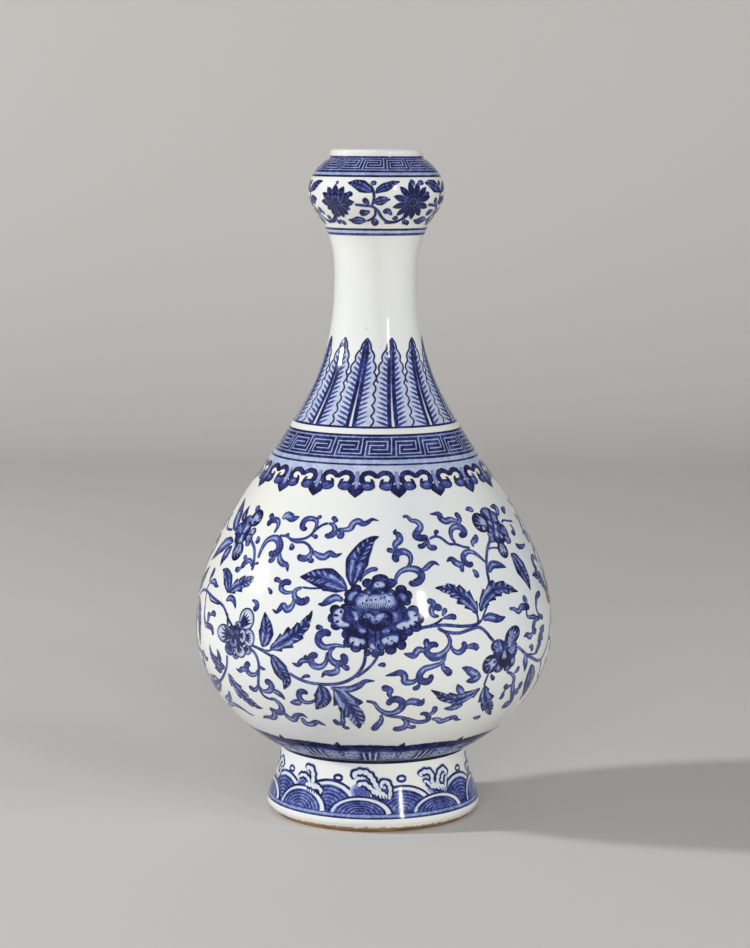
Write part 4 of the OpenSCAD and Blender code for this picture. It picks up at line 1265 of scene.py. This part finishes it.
# %% Peony
# A row is one touch: turn, run, two half sizes in mm, lean in degrees, ink inside and ink at the rim.
PEONY = [
    [(0.6, 110, 12.6, 9.6, 0, 0.6, 0.85), (0.3, 100, 3.4, 3.0, 0, 0.5, 0.7), (0.4, 120, 2.4, 1.6, 0, 0.8, 0.8),
     (-7.6, 104.4, 1.6, 1.4, 0, 0.8, 0.8), (8.4, 104.4, 1.6, 1.4, 0, 0.8, 0.8)],
    [(-2.2, 124, 2.3, 2.0), (2.0, 125.6, 3.4, 2.2), (5.4, 124, 2.2, 2.0), (1.6, 122.6, 5.2, 2.6),
     (-5.9, 121.6, 2.3, 1.9), (-8.2, 119.4, 1.8, 1.9), (-8.4, 116.8, 1.6, 1.6), (-6.6, 118.4, 3.2, 3.6),
     (8.7, 121.3, 2.4, 2.0), (10.8, 118.9, 1.9, 2.1), (10.4, 116.4, 1.7, 1.6), (8.6, 118.2, 3.2, 3.6),
     (-12.2, 112.9, 2.3, 2.2), (-13, 109.6, 2.0, 2.1), (-11.7, 106.7, 2.3, 1.9), (-8.8, 114, 2.4, 1.7),
     (-8.2, 106.2, 2.6, 1.6), (-9, 110.2, 5.4, 4.4), (8.4, 113.4, 2.4, 1.8), (12.2, 112.8, 2.5, 2.2),
     (14.1, 109.6, 2.1, 2.3), (13, 106.2, 2.4, 2.0), (10.4, 104.2, 2.2, 1.6), (10, 109, 5.6, 4.6),
     (-8.6, 103.4, 1.8, 1.8), (-7.8, 100.2, 2.1, 2.2), (-5.4, 98.1, 2.3, 1.9), (-2.9, 98.9, 1.8, 1.6),
     (-5, 101.4, 4.6, 4.0), (8.9, 102.6, 1.9, 1.9), (8.4, 99.3, 2.0, 2.1), (5.1, 97.3, 2.4, 1.9),
     (2.3, 98.7, 1.8, 1.6), (5.2, 101.4, 4.6, 4.0), (-2, 96.3, 1.5, 1.5), (0.2, 95.9, 1.5, 1.6),
     (2.2, 96.4, 1.4, 1.5)],
    [(-6.9, 110.2, 3.0, 3.2), (7.0, 110.8, 3.0, 3.0, 0, 0.6, 0.95), (-3.9, 104, 3.3, 2.1, 10, 0.85, 1.0),
     (3.7, 104, 2.8, 2.1, -10, 0.8, 1.0)],
    [(-5.7, 117.3, 1.5, 2.2), (-4.3, 119.4, 2.0, 1.8), (-1.8, 120.5, 2.2, 1.6), (2.6, 120.6, 2.2, 1.6),
     (5.3, 120, 2.1, 1.7), (7.4, 117.6, 1.6, 2.3), (-3, 116.6, 4.6, 4.2, 10, 0.4, 0.7),
     (4, 116.8, 4.8, 4.3, -10, 0.4, 0.7)],
    [(-2.7, 116.5, 4.3, 3.4, 8, 0.16, 0.7), (3.7, 116.7, 4.6, 3.5, -8, 0.16, 0.7),
     (-4, 119.3, 0.8, 0.7, 0, 0.35, 0.8), (-1.7, 120.2, 0.8, 0.6, 0, 0.35, 0.8), (2.7, 120.3, 0.8, 0.6, 0, 0.35, 0.8),
     (5.2, 119.6, 0.8, 0.7, 0, 0.35, 0.8)],
    [(0.6, 116.4, 4.4, 2.8, 0, 0.2, 0.4)],
    [(-2, 109.2, 3.6, 3.1, 15, 0.78, 1.05), (2.9, 109.5, 3.6, 3.2, -15, 0.78, 1.05),
     (0.4, 106.6, 2.6, 1.9, 0, 0.95, 1.05)],
]
PEONY_DOTS = [
    (1.1, 123.6), (-3.6, 115.9), (-2.4, 116.9), (-0.9, 117.2), (0.5, 117.4), (2.1, 117.8), (3.3, 118.3), (4.7, 116.7),
    (-1.6, 119), (-1.3, 110.2), (-2.4, 110.8), (0.9, 108.8), (3.2, 110.9), (-9.6, 108.9), (-2.6, 101.4), (5.4, 100.9),
    (4.2, 101.9),
]
PEONY_LIGHTS = [
    (0.14, -0.2, 122.4, 0.6, 1, 123.3, 1.0, 2.2, 123.4, 1.1, 3.6, 122.6, 0.7),
    (0.26, -7.8, 116.6, 0.7, -7.4, 118.6, 1.0, -6.2, 119.8, 0.8, -5.2, 120.4, 0.5),
    (0.26, 9.6, 116.4, 0.8, 9.2, 118.4, 1.1, 8, 119.6, 0.7),
    (0.1, -9.4, 113.2, 0.8, -11, 111.6, 1.5, -11.2, 109, 1.5, -9.8, 107.4, 1.1, -7.4, 107, 0.6),
    (0.1, 10.4, 112.4, 0.8, 12, 111, 1.5, 12.4, 109, 1.4, 11, 107.6, 1.2, 8.4, 106.8, 1.2, 6.6, 106.6, 0.6),
    (0.22, -7, 112.6, 0.4, -5.9, 111.6, 0.8, -5.4, 110, 0.8, -5.8, 108.6, 0.4),
    (0.32, 5.6, 112.4, 0.4, 6.6, 111.2, 0.8, 6.8, 109.6, 0.8, 5.8, 108, 0.3),
    (0.1, -7.4, 102.4, 0.7, -6.2, 100.9, 1.4, -4.2, 100.4, 1.3, -2.4, 101, 0.8),
    (0.12, 2.2, 101, 0.8, 4, 100.9, 1.5, 6.2, 101.6, 1.4, 7.4, 102.8, 0.6),
    (0.24, -5, 105.2, 0.5, -3.6, 105, 0.9, -2.2, 104.6, 0.4), (0.28, 2.2, 104.8, 0.5, 3.8, 105, 0.9, 5, 105, 0.4),
    (0.2, -3.4, 110.2, 0.4, -2, 110.9, 0.9, -0.7, 110, 1.0, 0.2, 108.9, 1.1, 1.2, 109.9, 1.1, 2.6, 111, 1.0,
     4, 110.6, 0.4),
    (0.34, 0.2, 109, 0.7, 0.4, 107.6, 0.4), (0.1, -0.9, 100, 0.5, -0.4, 98.7, 1.0, 0.6, 97.8, 0.5),
]
PEONY_DASHES = [
    (-12.6, 110.9, -10.9, 110.6), (-12, 108, -10.6, 108.6), (-10.4, 113, -10.2, 111.4), (13.8, 111.2, 12.2, 110.6),
    (13.6, 107.6, 12.2, 108.6), (11.8, 106, 10.8, 107.4), (9.4, 105.6, 9, 106.8), (-6.8, 99.2, -6, 100.8),
    (-4, 98.6, -4, 100.2), (6.6, 99, 5.8, 100.8), (3.8, 98.4, 3.8, 100.4),
]
PEONY_FOLDS = [
    (0.24, -5.2, 110.8, -3.4, 112.4, -1.4, 112.4, 0.4, 111.2), (0.24, 0.4, 111.2, 2.2, 112.7, 4.4, 112.5, 5.8, 110.8),
    (0.24, 0.4, 98.4, 0.5, 105),
]
DARK_LOBE = (0, 0.74, 1.14)
PEONY_HAIRS = 15
LIFT_LIGHTS, LIFT_DASHES, LIFT_DOTS, LIFT_FOLDS = 0.16, 0.172, 0.18, 0.185
blooms = Sheet("belly_flowers")
touches(blooms, [[(*values, *DARK_LOBE)[:7] for values in layer] for layer in PEONY])
for ink, *spots in PEONY_LIGHTS:
    stroke(blooms, np.reshape(spots, (-1, 3)) * [1, 1, 1.3], ink + 0.06, 0.62, 0.7, lift=LIFT_LIGHTS)
for spots in PEONY_DASHES:
    stroke(blooms, [(*spots[:2], 0.75), (*spots[2:], 0.3)], 0.9, 0.8, lift=LIFT_DASHES)
for turn, run in PEONY_DOTS:
    dot(blooms, turn, run, 0.42, LIFT_DOTS)
for turn in np.linspace(-4.6, 6, PEONY_HAIRS):
    hair = [(0.5 + (turn - 0.5) * 0.72, 112.4, 0.26), (turn, 116.2 - 0.03 * turn**2, 0.12)]
    stroke(blooms, hair, 0.9, 0.8, lift=LIFT_DOTS)
paint_all(blooms, "stem", PEONY_FOLDS, core=0.9, edge=0.9, lift=LIFT_FOLDS)
print("Peony:", sum(len(layer) for layer in PEONY), "touches,", blooms.count, "points")

# %% Smaller flowers, one of them pale and one at the side
LEFT_LEAVES = [
    (2.9, 0.52, -66, 139.8, -69, 142.6, -72, 146.4, -75, 150.6, -77.5, 154),
    (2.6, 0.48, -63.5, 135.2, -68, 134.2, -72, 131.4, -75.5, 127.6, -78.5, 124),
    (2.2, 0.55, -63, 133.4, -64.8, 130.4, -66, 127.2, -66.2, 123.8),
    (1.7, 0.6, -63, 145, -65, 146.4, -66, 148.8, -65.8, 151.8),
]
LEFT_HIGH = [
    [(-60, 140.5, 5.2, 6.6), (-64.2, 141, 2.6, 3.2), (-60.2, 146, 3.3, 2.0), (-55.2, 147.4, 3.9, 4.0, 0, 0.95, 1.0),
     (-53.3, 141.4, 1.9, 1.9, 0, 0.9, 0.95), (-54, 138.2, 2.3, 2.4), (-53.4, 136, 1.6, 1.3),
     (-57.8, 131.9, 3.9, 4.2, 0, 0.9, 1.0)],
    [(-55, 147.1, 2.6, 2.7, 0.2), (-53.3, 141.4, 1.2, 1.2, 0.2), (-54.8, 138.6, 0.6, 1.3, 0.3),
     (-58.7, 142.2, 2.8, 1.4, 0.2), (-58.8, 137.2, 2.7, 1.5, 0.2), (-61.6, 140, 1.3, 0.7, 0.4),
     (-58.4, 146.2, 1.2, 0.7, 0.3), (-57.6, 132.8, 2.6, 2.7, 0.3), (-61.3, 133.8, 1.3, 1.3, 0.35)],
    [(-54.8, 145.5, 1.2, 0.8, 0, 0.75, 0.3), (-58.3, 133.2, 0.4, 2.0, 0.2), (-57, 132.6, 0.35, 2.0, 0.2),
     (-57.7, 132.4, 0.35, 1.8, 0, 0.95, 0.5)],
]
RIGHT_HIGH = [
    [(53.8, 143.5, 6.0, 7.4), (46.6, 147, 4.2, 4.5, 0, 1, 1.0), (53.2, 150.9, 4.0, 2.3), (57, 148.6, 3.0, 2.4),
     (59.6, 141.4, 2.3, 3.4), (59, 137.6, 2.5, 2.0), (49.6, 141, 1.8, 1.8), (49.2, 139, 2.0, 1.5),
     (53.2, 133.8, 3.3, 3.6, 0, 0.9, 1.05)],
    [(47.9, 147.4, 2.4, 2.4, 0.2), (47.2, 144.4, 1.9, 2.0, 0, 0.95, 0.95), (53.6, 149.3, 2.0, 0.7, 0.3),
     (53.2, 134, 2.2, 2.6, 0.4), (52.4, 146.1, 1.7, 1.0, 0.2), (54.9, 144.3, 1.9, 1.0, 0.2),
     (50.6, 143, 0.9, 1.1, 0.3), (53.5, 141, 2.4, 1.1, 0.2), (55.7, 139.6, 1.5, 0.7, 0.2),
     (49.1, 141.2, 0.8, 1.2, 0.35), (57, 146.6, 1.0, 0.7, 0.35), (59, 143, 0.8, 1.2, 0, 0.45, 0.85)],
    [(47.2, 144.4, 1.2, 1.4, 0.2), (52.6, 134.4, 0.4, 1.9, 0.2), (54, 133.6, 0.4, 1.6, 0.2)],
]
RIGHT_LOW = [
    [(44.2, 91.8, 7.2, 5.2, 30, 0.66, 1.08), (48.4, 98.8, 5.2, 3.5, 25, 0.9, 1.02),
     (41.6, 95.6, 3.9, 2.8, 0, 0.7, 1.0), (48.5, 93.2, 3.1, 3.7, 0, 0.65, 1.0),
     (38.7, 88.4, 4.2, 4.0, 30, 0.9, 1.02), (42.4, 86.2, 2.8, 2.0, 0, 0.85, 1.0), (46.6, 85.6, 2.4, 1.5),
     (48.7, 88.2, 1.8, 2.6, 0, 0.7, 1.0)],
    [(47.4, 98.2, 3.7, 2.1, 0.3), (40.6, 96.3, 1.2, 0.8, 0.3), (42.8, 95, 1.3, 0.7, 0.3), (41, 93.7, 1.2, 0.7, 0.35),
     (46.9, 95.3, 1.5, 0.9, 0.2), (48.3, 92.7, 0.7, 1.4, 0.3), (39.3, 88.7, 2.8, 2.7, 0.2),
     (45, 89.4, 4.0, 3.5, 0, 1, 1.05)],
    [(44.5, 91.3, 2.5, 1.4, 0.2), (49.4, 99.6, 1.0, 0.7, 0.2), (38.6, 90.2, 0.8, 0.5, 20, 0.8, 0.4),
     (40.4, 89.2, 0.7, 0.8, 0, 0.85, 0.4), (38.2, 87.6, 0.6, 0.6, 0, 0.85, 0.4),
     (40.2, 86.9, 0.7, 0.5, 0, 0.85, 0.4), (46.6, 99, 0.7, 0.5, 0, 0.85, 0.4), (48, 97.9, 0.7, 0.4, 0, 0.85, 0.4),
     (44.9, 91.6, 0.5, 1.0, 10, 0.9, 0.5)],
]
SIDE_FLOWER = [[(turn + 41.5, run + 21, *rest) for turn, run, *rest in layer] for layer in RIGHT_LOW]
PALE_PETALS = [
    (-54.2, 97.8, 5.7, 3.9, 0.12, 0), (-43.7, 105.6, 4.4, 4.7, 0.06, 225), (-42.1, 98.2, 3.2, 3.9, 0.1, 180),
    (-44.9, 98.5, 2.3, 3.1, 0.14, 180), (-51.3, 91.9, 3.3, 2.7, 0.42, 70), (-42.7, 93.1, 2.1, 2.0, 0.18, 135),
    (-48.4, 89.4, 1.8, 1.2, 0.3, 90), (-46, 92, 3.4, 2.7, 0.1, 120), (-47.2, 102.7, 2.1, 1.5, 0.25, 240),
    (-49.2, 95.1, 2.8, 2.3, 0.3, 90),
]
LIFT_FLOWER, FLOWER_STEP, PALE_STEP = 0.06, 0.02, 0.013
PALE_GROUND = (0.05, -48.5, 97.6, 7.2, 4.6, 0, 0.9, 0.9)
PALE_EYES = [(0.2, -49.6, 99.3, 2.2, 1.6, 0, 0.6, 1.0), (0.205, -47.3, 99.6, 1.7, 1.4, 0, 0.5, 1.0)]
for half, core, *spots in LEFT_LEAVES:
    paint(blooms, "leaf", half, spots, core, 0.98, 1.0, LIFT_WASH)
for layers, heart in (
    (LEFT_HIGH, (-59, 141)), (RIGHT_HIGH, (54, 143)), (RIGHT_LOW, (44.5, 91.5)), (SIDE_FLOWER, (86, 112.5)),
):
    touches(blooms, layers, LIFT_FLOWER, FLOWER_STEP, heart)
touch(blooms, *PALE_GROUND)
for k, values in enumerate(PALE_PETALS):
    pale_petal(blooms, LIFT_FLOWER + PALE_STEP * k, *values)
for eye in PALE_EYES:
    touch(blooms, *eye)
blooms.copied(HALVES).piece()

# %% [markdown]
# ## Camera and light
# The photograph was taken with a long lens from about the height of the lip, tilted a little down. A soft box on
# the left casts the shadow to the right, a narrow one on the right front leaves the upright glints on neck and foot,
# and two large ones, which the glaze doesn't mirror, stand for the light of the room.

# %% Camera
FRAME_H, FOCAL_PX, SENSOR = 948, 2636.0, 36.0
EYE = (0.00005, -1.104, 0.2837)
TILT, ROLL = 7.219, 0.32
camera_data = bpy.data.cameras.new("camera")
camera_data.sensor_width = SENSOR
camera_data.lens = FOCAL_PX / FRAME_H * SENSOR
camera = bpy.data.objects.new("camera", camera_data)
camera.location = EYE
tilted = Matrix.Rotation(math.radians(90 - TILT), 3, "X") @ Matrix.Rotation(math.radians(ROLL), 3, "Z")
camera.rotation_euler = tilted.to_euler()
bpy.context.collection.objects.link(camera)
bpy.context.scene.camera = camera
print("Camera:", round(camera_data.lens, 1), "mm lens at", EYE)


# %% Floor and light
def studio_material():
    """Pale backdrop with a faint drift. Outside the picture, to the left, right and front, it darkens."""
    material, graph = new_material("studio_floor")
    pale = graph.mixed(graph.noise(1.5, 1), srgb(206, 203, 198), srgb(214, 211, 207))
    place = graph.split()
    away = graph.sum("MAXIMUM", graph.sum("ABSOLUTE", place["X"]), graph.sum("MULTIPLY", place["Y"], -1.0))
    graph.shade(graph.mixed(graph.ranged(away, 0.45, 1.3), pale, srgb(122, 120, 118)), 0.9)
    return material


def studio_floor():
    """A sheet that lies flat under the vase and sweeps up behind it: a straight, a quarter turn and a straight."""
    bend = np.radians(np.linspace(0, 90, 17))
    front, reach, curve, wall, side = -3.0, 1.2, 0.6, 2.5, 4.0
    y = np.concatenate([[front, reach], reach + curve * np.sin(bend[1:]), [reach + curve]])
    z = np.concatenate([[0, 0], curve * (1 - np.cos(bend[1:])), [wall]])
    points = np.stack(np.broadcast_arrays(np.array([-side, side]), y[:, None], z[:, None]), -1)
    floor_object = new_piece("studio_floor", points, grid_quads(len(y), 2), studio_material())
    floor_object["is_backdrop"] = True


def soft_lamp(name, place, aim, wide, tall, watts, mirrored=True):
    """A rectangular soft box at place, facing aim. Fill light that the room gives is not mirrored in the glaze."""
    data = bpy.data.lights.new(name, "AREA")
    data.shape = "RECTANGLE"
    data.size, data.size_y, data.energy = wide, tall, watts
    lamp = bpy.data.objects.new(name, data)
    lamp.location = place
    away = np.array(place) - np.array(aim)
    flat = math.hypot(away[0], away[1])
    lamp.rotation_euler = (math.atan2(flat, away[2]), 0, math.atan2(away[0], -away[1]))
    lamp.visible_glossy = mirrored
    bpy.context.collection.objects.link(lamp)


studio_floor()
MIDDLE = (0, 0, 0.14)
soft_lamp("key_lamp", (-1.88, -0.1, 0.8), MIDDLE, 0.17, 0.17, 30)
soft_lamp("front_lamp", (0.97, -1.55, 0.76), MIDDLE, 0.12, 0.46, 5)
soft_lamp("front_fill", (-0.2, -3.6, 1.3), MIDDLE, 2.2, 1.2, 60, mirrored=False)
soft_lamp("side_fill", (2.95, -1.6, 1.1), MIDDLE, 1.2, 1.0, 30, mirrored=False)
world = bpy.data.worlds.new("studio")
world.use_nodes = True
background = world.node_tree.nodes["Background"].inputs
background["Color"].default_value = srgb(226, 228, 232)
background["Strength"].default_value = 0.26
bpy.context.scene.world = world
bpy.context.scene.view_settings.view_transform = "Standard"
print("Stage: a floor and four lamps")

# %% [markdown]
# ## Finish
# The size of the dressed vase is measured.

# %% Measure and finish
low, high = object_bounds()
